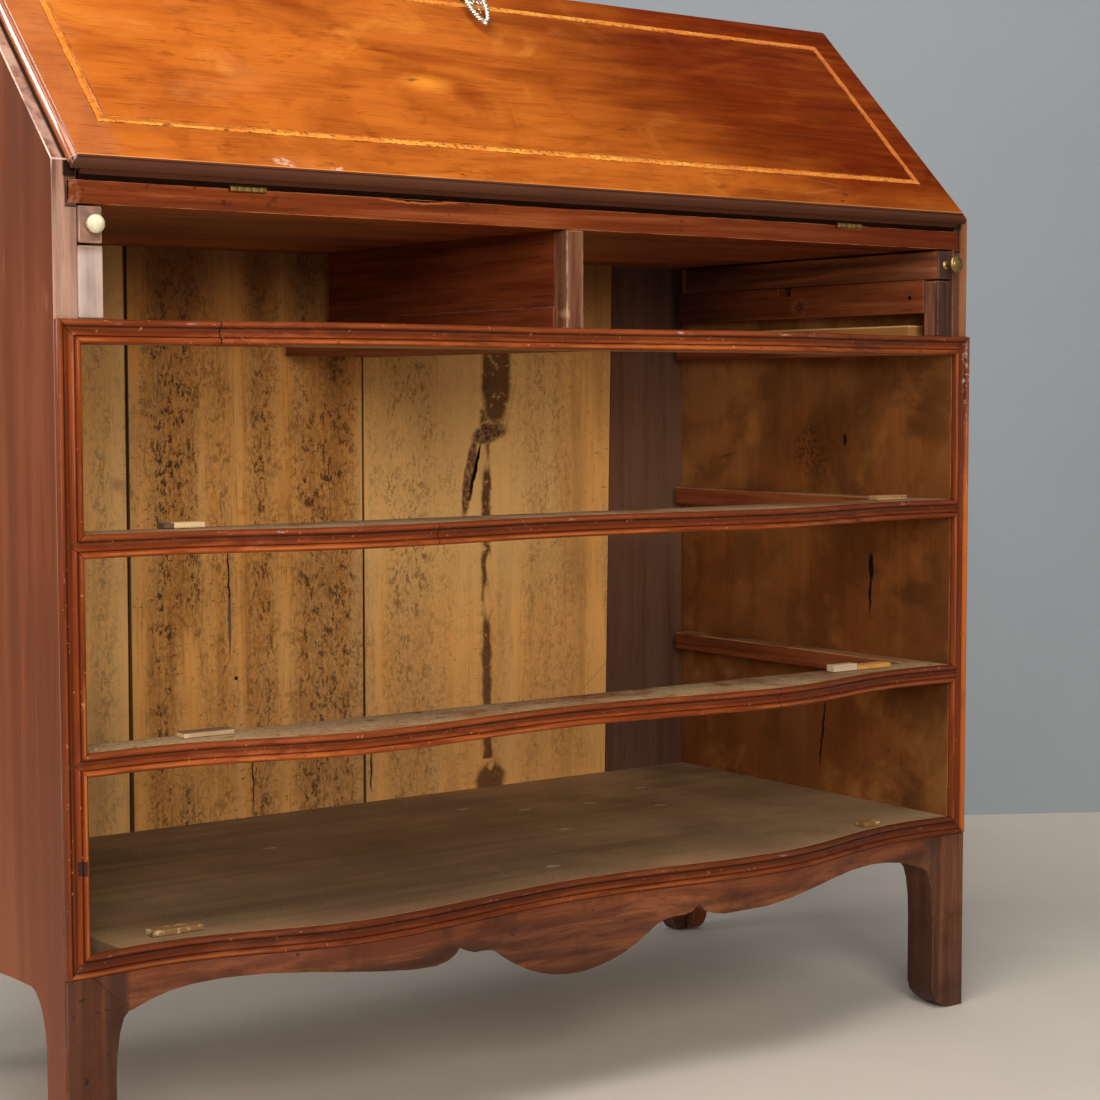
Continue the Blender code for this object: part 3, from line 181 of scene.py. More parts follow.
class Value:
    """A socket of a finish, with the sums and patterns that start from it."""

    def __init__(self, finish, socket):
        self.finish = finish
        self.socket = socket

    def calc(self, operation, *others):
        return self.finish.calc(operation, self, *others)

    def __mul__(self, other):
        return self.calc("MULTIPLY", other)

    __rmul__ = __mul__

    def __add__(self, other):
        return self.calc("ADD", other)

    def __sub__(self, other):
        return self.calc("SUBTRACT", other)

    def __rsub__(self, other):
        return self.finish.calc("SUBTRACT", other, self)

    def __truediv__(self, other):
        return self.calc("DIVIDE", other)

    def __gt__(self, other):
        return self.calc("GREATER_THAN", other)

    def __lt__(self, other):
        return self.calc("LESS_THAN", other)

    def __abs__(self):
        return self.calc("ABSOLUTE")

    def __or__(self, other):
        """The greater of two masks: 1 where either is."""
        return self.calc("MAXIMUM", other)

    def __and__(self, other):
        """The lesser of two values."""
        return self.calc("MINIMUM", other)

    def sine(self):
        return self.calc("SINE")

    def vector_calc(self, operation, sockets, output=0):
        return self.finish.made("ShaderNodeVectorMath", {0: self, **sockets}, output, operation=operation)

    def dot(self, axis):
        return self.vector_calc("DOT_PRODUCT", {1: axis}, "Value")

    def plus(self, push):
        return self.vector_calc("ADD", {1: push})

    def minus(self, push):
        return self.vector_calc("SUBTRACT", {1: push})

    def scaled(self, amount):
        return self.vector_calc("SCALE", {"Scale": amount})

    def length(self):
        return self.vector_calc("LENGTH", {}, "Value")

    def part(self, number):
        """One of a vector's three coordinates."""
        return self.finish.made("ShaderNodeSeparateXYZ", {"Vector": self}, number)

    def shift(self, centre=(0, 0, 0), size=(1, 1, 1), turn=(0, 0, 0)):
        """The vector measured from centre, in units of size."""
        sockets = {"Vector": self, "Location": centre, "Rotation": turn, "Scale": size}
        return self.finish.made("ShaderNodeMapping", sockets, vector_type="TEXTURE")

    def drawn(self, along, squeeze):
        """The vector with the grain's direction drawn out."""
        size = [1.0, 1.0, 1.0]
        size["XYZ".index(along)] = 1 / squeeze
        return self.shift(size=size)

    def noise(self, scale, detail=3.0, roughness=0.55, distortion=0.0, colour=False):
        sockets = {"Vector": self, "Scale": scale, "Detail": detail, "Roughness": roughness, "Distortion": distortion}
        return self.finish.made("ShaderNodeTexNoise", sockets, "Color" if colour else "Fac")

    def cells(self, scale):
        return self.finish.made("ShaderNodeTexVoronoi", {"Vector": self, "Scale": scale}, "Distance")

    def remap(self, low, high, start=0.0, end=1.0):
        """The value taken smoothly from between low and high to between start and end."""
        sockets = {"Value": self, "From Min": low, "From Max": high, "To Min": start, "To Max": end}
        return self.finish.made("ShaderNodeMapRange", sockets, interpolation_type="SMOOTHSTEP")

    def spot(self, centre, size, soft=0.5, turn=(0, 0, 0)):
        """1 inside an ellipsoid, fading to 0 at its border."""
        return self.shift(centre, size, turn).length().remap(1.0, 1.0 - soft)

    def band(self, low, high, soft):
        """1 where the value lies between low and high."""
        return self.remap(low - soft, low + soft) * self.remap(high + soft, high - soft)

    def ramp(self, stops):
        item = self.finish.node("ShaderNodeValToRGB", {"Fac": self})
        points = item.color_ramp.elements
        while len(points) < len(stops):
            points.new(0.5)
        for point, (place, shade) in zip(points, stops):
            point.position = place
            point.color = (*shade, 1.0)
        return Value(self.finish, item.outputs["Color"])

    def mix(self, first, second):
        """The first where this is 0, the second where it is 1."""
        return self.finish.mix(self, first, second)


class Finish:
    """One procedural material on the piece's own Object coordinates."""

    def __init__(self, name, coat=0.0, coat_roughness=0.2, metallic=0.0, specular=0.2):
        self.material = bpy.data.materials.new(name)
        self.material.use_nodes = True
        self.tree = self.material.node_tree
        self.tree.nodes.clear()
        self.end = self.tree.nodes.new("ShaderNodeOutputMaterial")
        self.shader = self.tree.nodes.new("ShaderNodeBsdfPrincipled")
        self.tree.links.new(self.shader.outputs[0], self.end.inputs["Surface"])
        for socket, value in (
            ("Coat Weight", coat),
            ("Coat Roughness", coat_roughness),
            ("Metallic", metallic),
            ("Specular IOR Level", specular),
        ):
            self.shader.inputs[socket].default_value = value
        self.place = self.made("ShaderNodeTexCoord", output="Object")
        self.x, self.y, self.z = (self.place.part(number) for number in range(3))

    def put(self, socket, value):
        if isinstance(value, Value):
            self.tree.links.new(value.socket, socket)
        else:
            if socket.type == "RGBA":
                value = (value, value, value, 1.0) if isinstance(value, (int, float)) else (*tuple(value)[:3], 1.0)
            socket.default_value = value

    def node(self, kind, sockets=None, **settings):
        item = self.tree.nodes.new(kind)
        for name, value in settings.items():
            setattr(item, name, value)
        for name, value in (sockets or {}).items():
            self.put(item.inputs[name], value)
        return item

    def made(self, kind, sockets=None, output=0, **settings):
        """One output of a new node."""
        return Value(self, self.node(kind, sockets, **settings).outputs[output])

    def calc(self, operation, *values):
        return self.made("ShaderNodeMath", dict(enumerate(values)), operation=operation)

    def point(self, x, y, z):
        return self.made("ShaderNodeCombineXYZ", {0: x, 1: y, 2: z})

    def ragged(self, amount, scale):
        """The place, pushed about by noise so that marks get uneven borders."""
        push = self.place.noise(scale, colour=True)
        return self.place.plus(push.minus((0.5, 0.5, 0.5)).scaled(amount))

    def either(self, masks):
        """1 where any of the masks is."""
        total, *others = masks
        for mask in others:
            total = total | mask
        return total

    def mix(self, fac, first, second):
        sockets = {0: fac, 6: first, 7: second}
        return self.made("ShaderNodeMix", sockets, 2, data_type="RGBA", blend_type="MIX", clamp_factor=True)

    def surface(self, colour, roughness, height, bump, distance):
        relief = self.made("ShaderNodeBump", {"Strength": bump, "Distance": distance, "Height": height})
        for socket, value in (("Base Color", colour), ("Roughness", roughness), ("Normal", relief)):
            self.put(self.shader.inputs[socket], value)
        return self.material


def darker(shade, share):
    return tuple(value * share for value in shade)


def blended(first, second, share):
    return tuple(a + (b - a) * share for a, b in zip(first, second))


def figure(finish, along, ring, sway, offset):
    """Growth rings across a board, as waves from 0 to 1."""
    across = {"X": (0.02, 0.7, 1.0), "Y": (0.7, 0.02, 1.0), "Z": (1.0, 0.8, 0.02)}[along]
    wander = finish.place.drawn(along, 0.22).noise(5.0, 2.0, 0.5, 0.3)
    turn = finish.place.dot(across) / ring + wander * (sway * 3.5)
    return ((turn + offset) * math.tau).sine() * 0.5 + 0.5


def wood_base(finish, along, shades, ring=0.016, sway=1.6, mixing=(0.12, 0.48, 0.44), streak_scale=95.0, offset=0.0):
    """Colour, streak and pore of a board whose grain runs along one axis."""
    rings = figure(finish, along, ring, sway, offset)
    streak = finish.place.drawn(along, 0.045).noise(streak_scale, 4.0, 0.62, 0.4)
    blotch = finish.place.drawn(along, 0.4).noise(5.0, 2.0, 0.5, 0.2)
    total = streak.remap(0.3, 0.7) * mixing[1] + rings * mixing[0]
    total = blotch.remap(0.3, 0.7) * mixing[2] + total
    colour = total.ramp([(0.12, shades[0]), (0.5, shades[1]), (0.92, shades[2])])
    pore = finish.place.drawn(along, 0.035).noise(620.0, 2.0, 0.5).remap(0.6, 0.7)
    colour = (pore * 0.45).mix(colour, darker(shades[0], 0.55))
    return colour, streak, pore


def worn(finish, colour, shade, amount=0.75, scale=60.0):
    """An arris rubbed pale in places."""
    rub = finish.place.noise(scale, 3.0, 0.6).remap(0.36, 0.62)
    return (rub * amount).mix(colour, shade)


def scratches(finish, colour, shade, along, amount=0.3, scale=34.0):
    """Few, thin, long scratches."""
    drawn = finish.place.drawn(along, 0.03)
    ridge = abs(drawn.noise(scale, 1.0, 0.4, 0.15) - 0.5)
    line = ridge.remap(0.006, 0.002)
    where = finish.place.noise(9.0, 1.0).remap(0.56, 0.66)
    mask = line * where
    return (mask * amount).mix(colour, shade), mask


# ---------------------------------------------------------------- wood finishes


def side_finish(arris):
    """Polished outside, bare inside and greyed front edge of the case sides; the edge's pale tones are partly painted
    highlight.
    """
    finish = Finish("side_wood" + ("_arris" if arris else ""), coat=0.035, coat_roughness=0.28, specular=0.1)
    shade = tuple(woods().side_outer)
    bare = tuple(woods().side_inner)
    outer, streak, pore = wood_base(
        finish, "Z", (darker(shade, 0.72), shade, blended(shade, tone(186, 112, 70), 0.34)), 0.034, 1.0,
        (0.05, 0.38, 0.57), 46.0,
    )
    cloud = finish.place.drawn("Z", 0.3).noise(5.2, 4.0).remap(0.4, 0.7)
    outer = (cloud * 0.3).mix(outer, darker(shade, 0.55))
    warm = finish.place.drawn("Z", 0.1).noise(11.0, 3.0).remap(0.52, 0.68)
    outer = (warm * 0.34).mix(outer, tone(168, 92, 44))
    outer, scratch = scratches(finish, outer, tone(186, 128, 92), "Z", 0.22)
    dent = finish.place.cells(26.0).remap(0.1, 0.05)
    dent = dent * finish.place.noise(6.0, 1.0).remap(0.52, 0.62)
    outer = (dent * 0.5).mix(outer, darker(shade, 0.2))
    inner, _, _ = wood_base(
        finish, "Z", (darker(bare, 0.58), bare, blended(bare, tone(196, 146, 88), 0.45)), 0.05, 1.3,
        (0.04, 0.18, 0.6), 44.0, 0.3,
    )
    inner = finish.z.remap(0.56, 0.68, 0.0, 0.3).mix(inner, tone(186, 128, 74))
    inner = finish.z.remap(0.52, 0.36, 0.0, 0.55).mix(inner, tone(98, 50, 20))
    loose = finish.ragged(0.05, 7.0)
    deep = finish.y.remap(0.02, 0.16) * finish.z.remap(0.5, 0.56)
    inner = (deep * 0.24).mix(inner, tone(196, 138, 84))
    murk = loose.shift(size=(1, 1.3, 1)).noise(15.0, 5.0, 0.66).remap(0.44, 0.64)
    inner = (murk * 0.56).mix(inner, darker(bare, 0.38))
    bloom = loose.shift((0, 0.3, 0.1)).noise(9.0, 4.0, 0.6).remap(0.5, 0.7)
    inner = (bloom * 0.6).mix(inner, tone(196, 134, 70))
    fore = (finish.y + murk * -0.05).remap(-0.13, -0.2)
    inner = (fore * 0.55).mix(inner, darker(bare, 0.26))
    grime = loose.shift(size=(1, 1, 1.8)).noise(8.0, 4.0, 0.6).remap(0.45, 0.72)
    inner = (grime * 0.62).mix(inner, darker(bare, 0.28))
    close = finish.ragged(0.016, 40.0)
    tight = finish.ragged(0.006, 90.0)
    right = finish.x > 0.2
    patch = close.spot((0.48, 0.005, 0.575), (0.2, 0.052, 0.05), 0.9)
    speckle = finish.place.noise(260.0, 2.0).remap(0.42, 0.6)
    patch = patch * speckle
    knot = tight.spot((0.48, -0.088, 0.452), (0.2, 0.0042, 0.018), 0.4)
    tail = tight.spot((0.48, -0.0865, 0.425), (0.2, 0.0022, 0.03), 0.5)
    eye = tight.spot((0.48, -0.0464, 0.587), (0.2, 0.0028, 0.009), 0.5)
    split = tight.spot((0.48, -0.0145, 0.265), (0.2, 0.002, 0.052), 0.5, (math.radians(7), 0, 0))
    stroke = close.spot((0.48, 0.151, 0.566), (0.2, 0.024, 0.0024), 0.7, (math.radians(-12), 0, 0))
    marks = (knot | tail | eye | split | stroke * 0.4) * right
    inner = (patch * right * 0.7).mix(inner, darker(bare, 0.16))
    inner = marks.mix(inner, tone(26, 13, 8))
    # Painted shade on the inside below the bottom board.
    inner = finish.z.remap(0.185, 0.17, 0.0, 0.6).mix(inner, tone(44, 28, 20))
    # The front edge: grey worn wood, lightened with painted highlight; the right is then made orange brown.
    edge, _, _ = wood_base(
        finish, "Z", (tone(104, 66, 52), tone(156, 108, 86), tone(188, 140, 116)), 0.02, 0.8, (0.1, 0.5, 0.4), 130.0
    )
    rub = finish.place.shift(size=(1, 1, 2.5)).noise(26.0, 4.0, 0.5).remap(0.35, 0.75)
    edge = (rub * 0.4).mix(edge, tone(214, 182, 164))
    reach = abs(finish.x)
    opposite = finish.x > 0.0
    edge = (opposite * 0.72).mix(edge, tone(146, 82, 36))
    nearest = opposite * reach.remap(0.49, 0.488) * (finish.z < 0.8)
    edge = (nearest * 0.7).mix(edge, tone(54, 34, 26))
    # A dark strip under the fall's lip: painted shadow and dirt.
    under_lip = (finish.z > 0.803) * reach.remap(0.4918, 0.4895)
    edge = under_lip.mix(edge, tone(36, 20, 14))
    lap = finish.z.band(0.7795, 0.8035, 0.0004) * (reach + rub * 0.0016).remap(0.4908, 0.4894)
    edge = (lap * 0.85).mix(edge, tone(30, 16, 12))
    inside = abs(finish.x) < SIDE_INNER
    slope_out = finish.place.shift(FALL_HINGE).dot(OUTWARD)
    front = (finish.y < SIDE_FRONT) | (slope_out > 0.009)
    high = finish.z > 0.3
    front = front * high
    colour = inside.mix(outer, inner)
    colour = front.mix(colour, edge)
    # Worn arrises; on the sloped edge above z 0.8 nearly white, partly wear and partly painted highlight.
    if arris:
        colour = finish.z.remap(0.8, 0.82).mix(
            worn(finish, colour, tone(176, 116, 84), 0.35, 45.0),
            worn(finish, colour, tone(236, 204, 184), 0.85, 30.0),
        )
    roughness = streak.remap(0.2, 0.8, 0.34, 0.48)
    roughness = inside.mix(roughness, 0.78)
    if arris:
        roughness = 0.3
    height = streak * 0.5 - pore * 0.5
    height = height - (dent | scratch | marks) * 0.9
    return finish.surface(colour, roughness, height, 0.25, 0.0005)


def fall_finish(arris):
    """Glossy shellacked fall: painted sheen makes it orange brown to the left, painted shade deeper to the right; the
    lip shines most.
    """
    finish = Finish(
        "fall_wood" + ("_lip" if arris else ""), coat=1.0 if arris else 0.035, coat_roughness=0.09,
        specular=0.05 if arris else 0.0,
    )
    light = tuple(woods().fall_light)
    dark = tuple(woods().fall_dark)
    local = finish.place.shift(FALL_HINGE)
    up = local.dot(SLOPE)
    out = local.dot(OUTWARD)
    flat = finish.point(finish.x, up, out)
    waver = flat.shift(size=(3.2, 1, 1)).noise(7.0, 3.0, 0.55, 0.6)
    reach = up * 26.0 + waver * 9.0
    rings = (reach * math.tau).sine() * 0.5 + 0.5
    streak = flat.shift(size=(17, 1, 1)).noise(110.0, 4.0, 0.62, 0.5)
    broad = flat.shift(size=(5, 1, 1)).noise(16.0, 4.0, 0.6, 0.8)
    total = rings * 0.22
    total = streak.remap(0.3, 0.7) * 0.34 + total
    total = broad.remap(0.3, 0.7) * 0.44 + total
    # Tones lit by painted sheen (bright) and in painted shade (deep); the shade covers the right of the field, less
    # along the bottom strip.
    bright = total.ramp([(0.1, blended(light, dark, 0.55)), (0.5, blended(light, dark, 0.12)), (0.9, light)])
    deep = total.ramp([(0.1, darker(dark, 0.6)), (0.55, dark), (0.95, blended(dark, light, 0.26))])
    drift = flat.shift(size=(2.2, 1, 1)).noise(5.0, 3.0, 0.6)
    place = finish.x + (drift - 0.5) * 0.55
    place = up * 0.35 + place
    right = place.remap(-0.02, 0.37)
    lower = up.remap(0.055, 0.015)
    shadow = right * lower.remap(0.0, 1.0, 0.92, 0.45)
    colour = shadow.mix(bright, deep)
    cloud = flat.shift(size=(2.6, 1, 1), turn=(0, 0, 0.16)).noise(11.0, 4.0, 0.62, 1.0).remap(0.5, 0.72)
    colour = (cloud * 0.42).mix(colour, dark)
    flame = flat.shift(size=(1.3, 1.6, 1), turn=(0, 0, -0.5)).noise(15.0, 4.0, 0.62, 0.9)
    colour = (flame.remap(0.52, 0.68) * 0.34).mix(colour, blended(dark, light, 0.16))
    pale_flame = flame.remap(0.46, 0.32) * right.remap(0.0, 1.0, 0.3, 0.04)
    colour = pale_flame.mix(colour, tone(214, 134, 52))
    dash = flat.shift(size=(4.2, 1, 1), turn=(0, 0, 0.1)).noise(120.0, 3.0, 0.6, 0.6).remap(0.6, 0.66)
    dash = dash * flat.noise(9.0, 2.0).remap(0.42, 0.6)
    colour = (dash * 0.3).mix(colour, darker(dark, 0.7))
    rough_flat = flat.plus(flat.noise(60.0, 2.0, colour=True).scaled(0.012))
    knot = rough_flat.spot((-0.113, 0.147, 0.02), (0.012, 0.0032, 0.2), 0.8)
    halo = rough_flat.spot((-0.1, 0.144, 0.02), (0.04, 0.018, 0.2), 0.95)
    colour = (halo * 0.62).mix(colour, tone(226, 142, 46))
    shade_by = rough_flat.spot((-0.06, 0.134, 0.02), (0.034, 0.022, 0.2), 0.95)
    colour = (shade_by * 0.42).mix(colour, dark)
    colour = (knot * 0.7).mix(colour, tone(70, 52, 34))
    scuff = (
        rough_flat.spot((-0.294, 0.0205, 0.02), (0.011, 0.006, 0.2), 0.5, (0, 0, math.radians(-24)))
        | rough_flat.spot((-0.246, 0.0165, 0.02), (0.0075, 0.004, 0.2), 0.5, (0, 0, math.radians(-20)))
    )
    scuff = scuff * flat.noise(210.0, 3.0, 0.7).remap(0.4, 0.52)
    colour = (scuff * 0.62).mix(colour, tone(214, 178, 156))
    blot = (
        rough_flat.spot((-0.343, 0.036, 0.02), (0.016, 0.0085, 0.2), 0.7)
        * flat.noise(130.0, 3.0, 0.7).remap(0.44, 0.54)
    )
    colour = (blot * 0.6).mix(colour, tone(118, 44, 16))
    nick = (
        rough_flat.spot((0.336, 0.029, 0.02), (0.005, 0.0018, 0.2), 0.7)
        | rough_flat.spot((0.326, 0.018, 0.02), (0.004, 0.0016, 0.2), 0.7)
        | rough_flat.spot((-0.12, 0.021, 0.02), (0.004, 0.0016, 0.2), 0.7)
    )
    colour = (nick * 0.8).mix(colour, tone(58, 18, 10))
    # A whitish painted reflection towards the left; it also roughens the surface a little.
    painted_sheen_haze = flat.shift(size=(1.6, 1, 1)).noise(14.0, 4.0, 0.6).remap(0.5, 0.75)
    painted_sheen_haze = painted_sheen_haze * finish.x.remap(-0.2, -0.36)
    colour = (painted_sheen_haze * 0.2).mix(colour, tone(214, 146, 92))
    # Pinkish painted haze of reflected light on the left margin.
    margin = finish.x.remap(-0.436, -0.452) * broad.remap(0.25, 0.6, 0.55, 1.0)
    colour = (margin * 0.34).mix(colour, tone(166, 100, 68))
    colour, scratch = scratches(finish, colour, tone(240, 178, 120), "X", 0.07, 26.0)
    pore = flat.shift(size=(22, 1, 1)).noise(560.0, 2.0).remap(0.6, 0.7)
    colour = (pore * 0.35).mix(colour, darker(dark, 0.4))
    lip = min(rises("fall_panel")) + LIP_RISE
    line_rises = rises("fall_inlay")
    line_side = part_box("fall_inlay")[1].x - abs(finish.x)
    beside = line_side & (up - min(line_rises)) & (max(line_rises) - up)
    torn = (flat.noise(260.0, 3.0, 0.65) - 0.5) * 0.003
    beside = beside + torn
    pale_rim = beside.band(-0.0004, 0.003, 0.0002) | beside.band(0.003, 0.0072, 0.0003)
    colour = (pale_rim * flat.noise(60.0, 2.0).remap(0.36, 0.5) * 0.8).mix(colour, tone(206, 120, 44))
    dark_rim = beside.band(0.0074, 0.0082, 0.0003) * flat.noise(34.0, 3.0, 0.6).remap(0.48, 0.58)
    colour = (dark_rim * 0.7).mix(colour, tone(92, 34, 10))
    below = up < lip
    glow = up.band(lip, lip + 0.001, 0.0002)
    colour = (glow * broad.remap(0.3, 0.6, 0.2, 0.7)).mix(colour, tone(232, 150, 74))
    colour = below.mix(colour, streak.mix(tone(66, 38, 27), tone(100, 61, 43)))
    # Near black in the gap over the hinge rail: painted shadow.
    gap = below * out.remap(0.0058, 0.0046)
    colour = (gap * 0.9).mix(colour, tone(14, 8, 6))
    inner = (out < 0.0004) * (1.0 - below)
    plain_face = total.ramp([(0.12, tone(84, 38, 18)), (0.5, tone(124, 62, 30)), (0.92, tone(154, 86, 44))])
    plain_face = (cloud * 0.3).mix(plain_face, tone(78, 34, 16))
    plain_face = (pore * 0.4).mix(plain_face, tone(48, 22, 12))
    colour = inner.mix(colour, plain_face)
    if arris:
        colour = finish.mix(0.25, colour, tone(96, 44, 26))
    roughness = broad.remap(0.2, 0.8, 0.26, 0.42)
    roughness = painted_sheen_haze * 0.14 + roughness
    roughness = inner.mix(roughness, 0.46)
    height = broad * 0.7 - (pore | scratch | nick | scuff) * 0.5
    return finish.surface(
        colour, broad.remap(0.2, 0.8, 0.12, 0.2) if arris else roughness, height, 0.06 if arris else 0.12, 0.0006
    )


def stringing_finish():
    """Light stringing with a dark line each side, broken by age."""
    finish = Finish("inlay_wood", coat=0.06, coat_roughness=0.2, specular=0.05)
    light = tuple(woods().stringing)
    local = finish.place.shift(FALL_HINGE)
    up = local.dot(SLOPE)
    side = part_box("fall_inlay")[1].x - abs(finish.x)
    line_rises = rises("fall_inlay")
    bottom = up - min(line_rises)
    top = max(line_rises) - up
    edge = side & bottom & top
    centre = abs(edge - 0.003)
    flat = finish.point(finish.x, up, 0.0)
    waver = (flat.noise(190.0, 3.0, 0.6) - 0.5) * 0.0014
    centre = centre + waver
    streak = flat.noise(240.0, 4.0, 0.65)
    core = streak.ramp(
        [(0.32, darker(light, 0.42)), (0.5, darker(light, 0.85)), (0.72, blended(light, tone(255, 200, 110), 0.4))]
    )
    blocks = flat.shift(size=(2.4, 1, 1)).noise(64.0, 1.0, 0.4).remap(0.56, 0.44)
    core = (blocks * 0.5).mix(core, tone(196, 98, 30))
    inward = edge.remap(0.0024, 0.0036)
    ticks = flat.shift(size=(1, 2.6, 1), turn=(0, 0, 0.6)).noise(330.0, 2.0, 0.6).remap(0.55, 0.6)
    core = (ticks * inward * 0.75).mix(core, tone(112, 44, 14))
    gap = flat.noise(75.0, 3.0, 0.65).remap(0.6, 0.66)
    core = (gap * 0.75).mix(core, tone(104, 40, 14))
    upright = side < (bottom & top)
    left = finish.x < 0.0
    core = (upright * left * 0.55).mix(core, tone(204, 108, 36))
    core = finish.x.remap(0.05, 0.35, 0.0, 0.5).mix(core, tone(196, 98, 34))
    core = (upright * (1.0 - left) * 0.35).mix(core, tone(176, 76, 26))
    faint = (bottom < 0.007) * finish.x.remap(-0.29, -0.34)
    core = (faint * inward * 0.85).mix(core, tone(172, 92, 34))
    line = centre.remap(0.0026, 0.003) * flat.noise(40.0, 3.0, 0.6).remap(0.46, 0.56)
    colour = line.mix(core, tone(92, 36, 12))
    height = streak - line * 0.5
    return finish.surface(colour, streak.remap(0.3, 0.7, 0.28, 0.4), height, 0.18, 0.0004)


def moulding_finish(name, along, across, starts):
    """Bead, hollow, bead: crests rubbed orange, quirks and hollow dark with wax and painted shade, painted glints on
    the beads.
    """
    finish = Finish(name, coat=0.08, coat_roughness=0.22, specular=0.1)
    shade = tuple(woods().moulding)
    colour, streak, pore = wood_base(
        finish, along, (darker(shade, 0.64), darker(shade, 0.9), blended(shade, tone(206, 110, 50), 0.34)), 0.008,
        1.2, (0.12, 0.55, 0.4), 150.0,
    )
    coordinate = {"X": finish.x, "Z": finish.z}[across]
    crests, quirks, brights = [], [], []
    for start, size, rising in starts:
        share = (coordinate - start) / size
        inside = (share > -0.02) * (share < 1.02)
        mirror = 0.5 - abs(share - 0.5)
        along_bead = mirror * size
        here = inside * abs(along_bead - 0.0028).remap(0.0016, 0.0003)
        ditch = inside * abs(along_bead - 0.0058).remap(0.001, 0.0002)
        hollow = inside * mirror.remap(0.4, 0.5) * 0.35
        crests.append(here)
        quirks.append(ditch | hollow)
        brights.append(inside * (share < 0.5 if rising else share > 0.5))
    crest, quirk, warm = (finish.either(masks) for masks in (crests, quirks, brights))
    wear = finish.place.drawn(along, 0.3).noise(22.0, 4.0, 0.65).remap(0.42, 0.62)
    colour = (crest * warm * wear * 0.75).mix(colour, tone(188, 104, 50))
    cold = 1.0 - warm
    colour = (cold * (crest * -0.25 + 0.52)).mix(colour, tone(86, 43, 23))
    colour = (cold * crest * wear * 0.55).mix(colour, tone(156, 72, 36))
    # Quirks and the hollow's middle: wax and painted shade.
    colour = (quirk * 0.72).mix(colour, tone(38, 18, 10))
    # Painted highlights: pale glints on the cold crests.
    shine = finish.place.drawn(along, 0.2).noise(150.0, 3.0, 0.6).remap(0.62, 0.67)
    shine = shine * cold * crest * finish.place.noise(7.0, 2.0).remap(0.42, 0.56)
    colour = (shine * 0.7).mix(colour, tone(196, 158, 146))
    chip = finish.place.noise(120.0, 3.0, 0.7).remap(0.66, 0.72)
    colour = (chip * crest * 0.8).mix(colour, tone(40, 18, 12))
    # Painted glints scattered over the moulding.
    glint = finish.place.noise(210.0, 2.0, 0.6).remap(0.68, 0.74)
    colour = (glint * 0.5).mix(colour, tone(222, 150, 100))
    return finish, colour, streak, pore


def rail_moulding_finish():
    """Level mouldings, with a few fine joints across."""
    starts = [(bottom, MOULDING_HEIGHT, True) for bottom in (*RAIL_BOTTOMS.values(), BASE_BOTTOM)]
    finish, colour, streak, pore = moulding_finish("moulding_wood", "X", "Z", starts)
    place = finish.ragged(0.0012, 90.0)
    x, z = place.part(0), place.part(2)
    joint = (
        x.band(-0.3628, -0.3618, 0.0004) * (z > 0.67)
        | x.band(0.212, 0.2128, 0.0004) * z.band(0.33, 0.37, 0.002)
        | x.band(-0.1712, -0.1704, 0.0004) * z.band(0.5, 0.54, 0.002)
    )
    low = finish.z < 0.21
    colour = (low * 0.42).mix(colour, tone(44, 22, 14))
    colour = finish.x.remap(0.05, 0.42, 0.0, 0.36).mix(colour, tone(66, 26, 14))
    colour = joint.mix(colour, tone(18, 8, 6))
    roughness = streak.remap(0.3, 0.7, 0.24, 0.4)
    height = streak * 0.6 - (pore | joint) * 0.6
    return finish.surface(colour, roughness, height, 0.3, 0.0006)


def stile_moulding_finish():
    """Upright mouldings: one break at the left; at the right the outer edge worn orange, with painted white glints
    near the top.
    """
    boxes = [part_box(node) for node in ("stile_moulding_left", "stile_moulding_right")]
    starts = [(low.x, high.x - low.x, low.x > 0) for low, high in boxes]
    finish, colour, streak, pore = moulding_finish("moulding_wood_upright", "Z", "X", starts)
    place = finish.ragged(0.002, 110.0)
    outermost = (
        (finish.x > 0.4935)
        * finish.z.remap(0.64, 0.56)
        * finish.place.noise(20.0, 2.0).remap(0.3, 0.5, 0.35, 0.75)
    )
    # Painted highlight: white glints high on the right stile's outer edge.
    sparkle = (
        (finish.x > 0.4915)
        * finish.z.band(0.61, 0.69, 0.015)
        * finish.place.noise(240.0, 3.0, 0.7).remap(0.56, 0.62)
        * 0.34
    )
    broken = place.part(2).band(0.2632, 0.2746, 0.0008) * finish.x.band(-0.4884, -0.4816, 0.0006)
    colour = (broken * 0.88).mix(colour, tone(42, 31, 30))
    far = (finish.x > 0.0) * 0.32
    colour = far.mix(colour, tone(72, 24, 12))
    colour = outermost.mix(colour, tone(196, 100, 36))
    colour = sparkle.mix(colour, tone(216, 198, 188))
    roughness = streak.remap(0.3, 0.7, 0.22, 0.42)
    height = streak * 0.8 - (pore | broken) * 0.7
    return finish.surface(colour, roughness, height, 0.4, 0.0009)


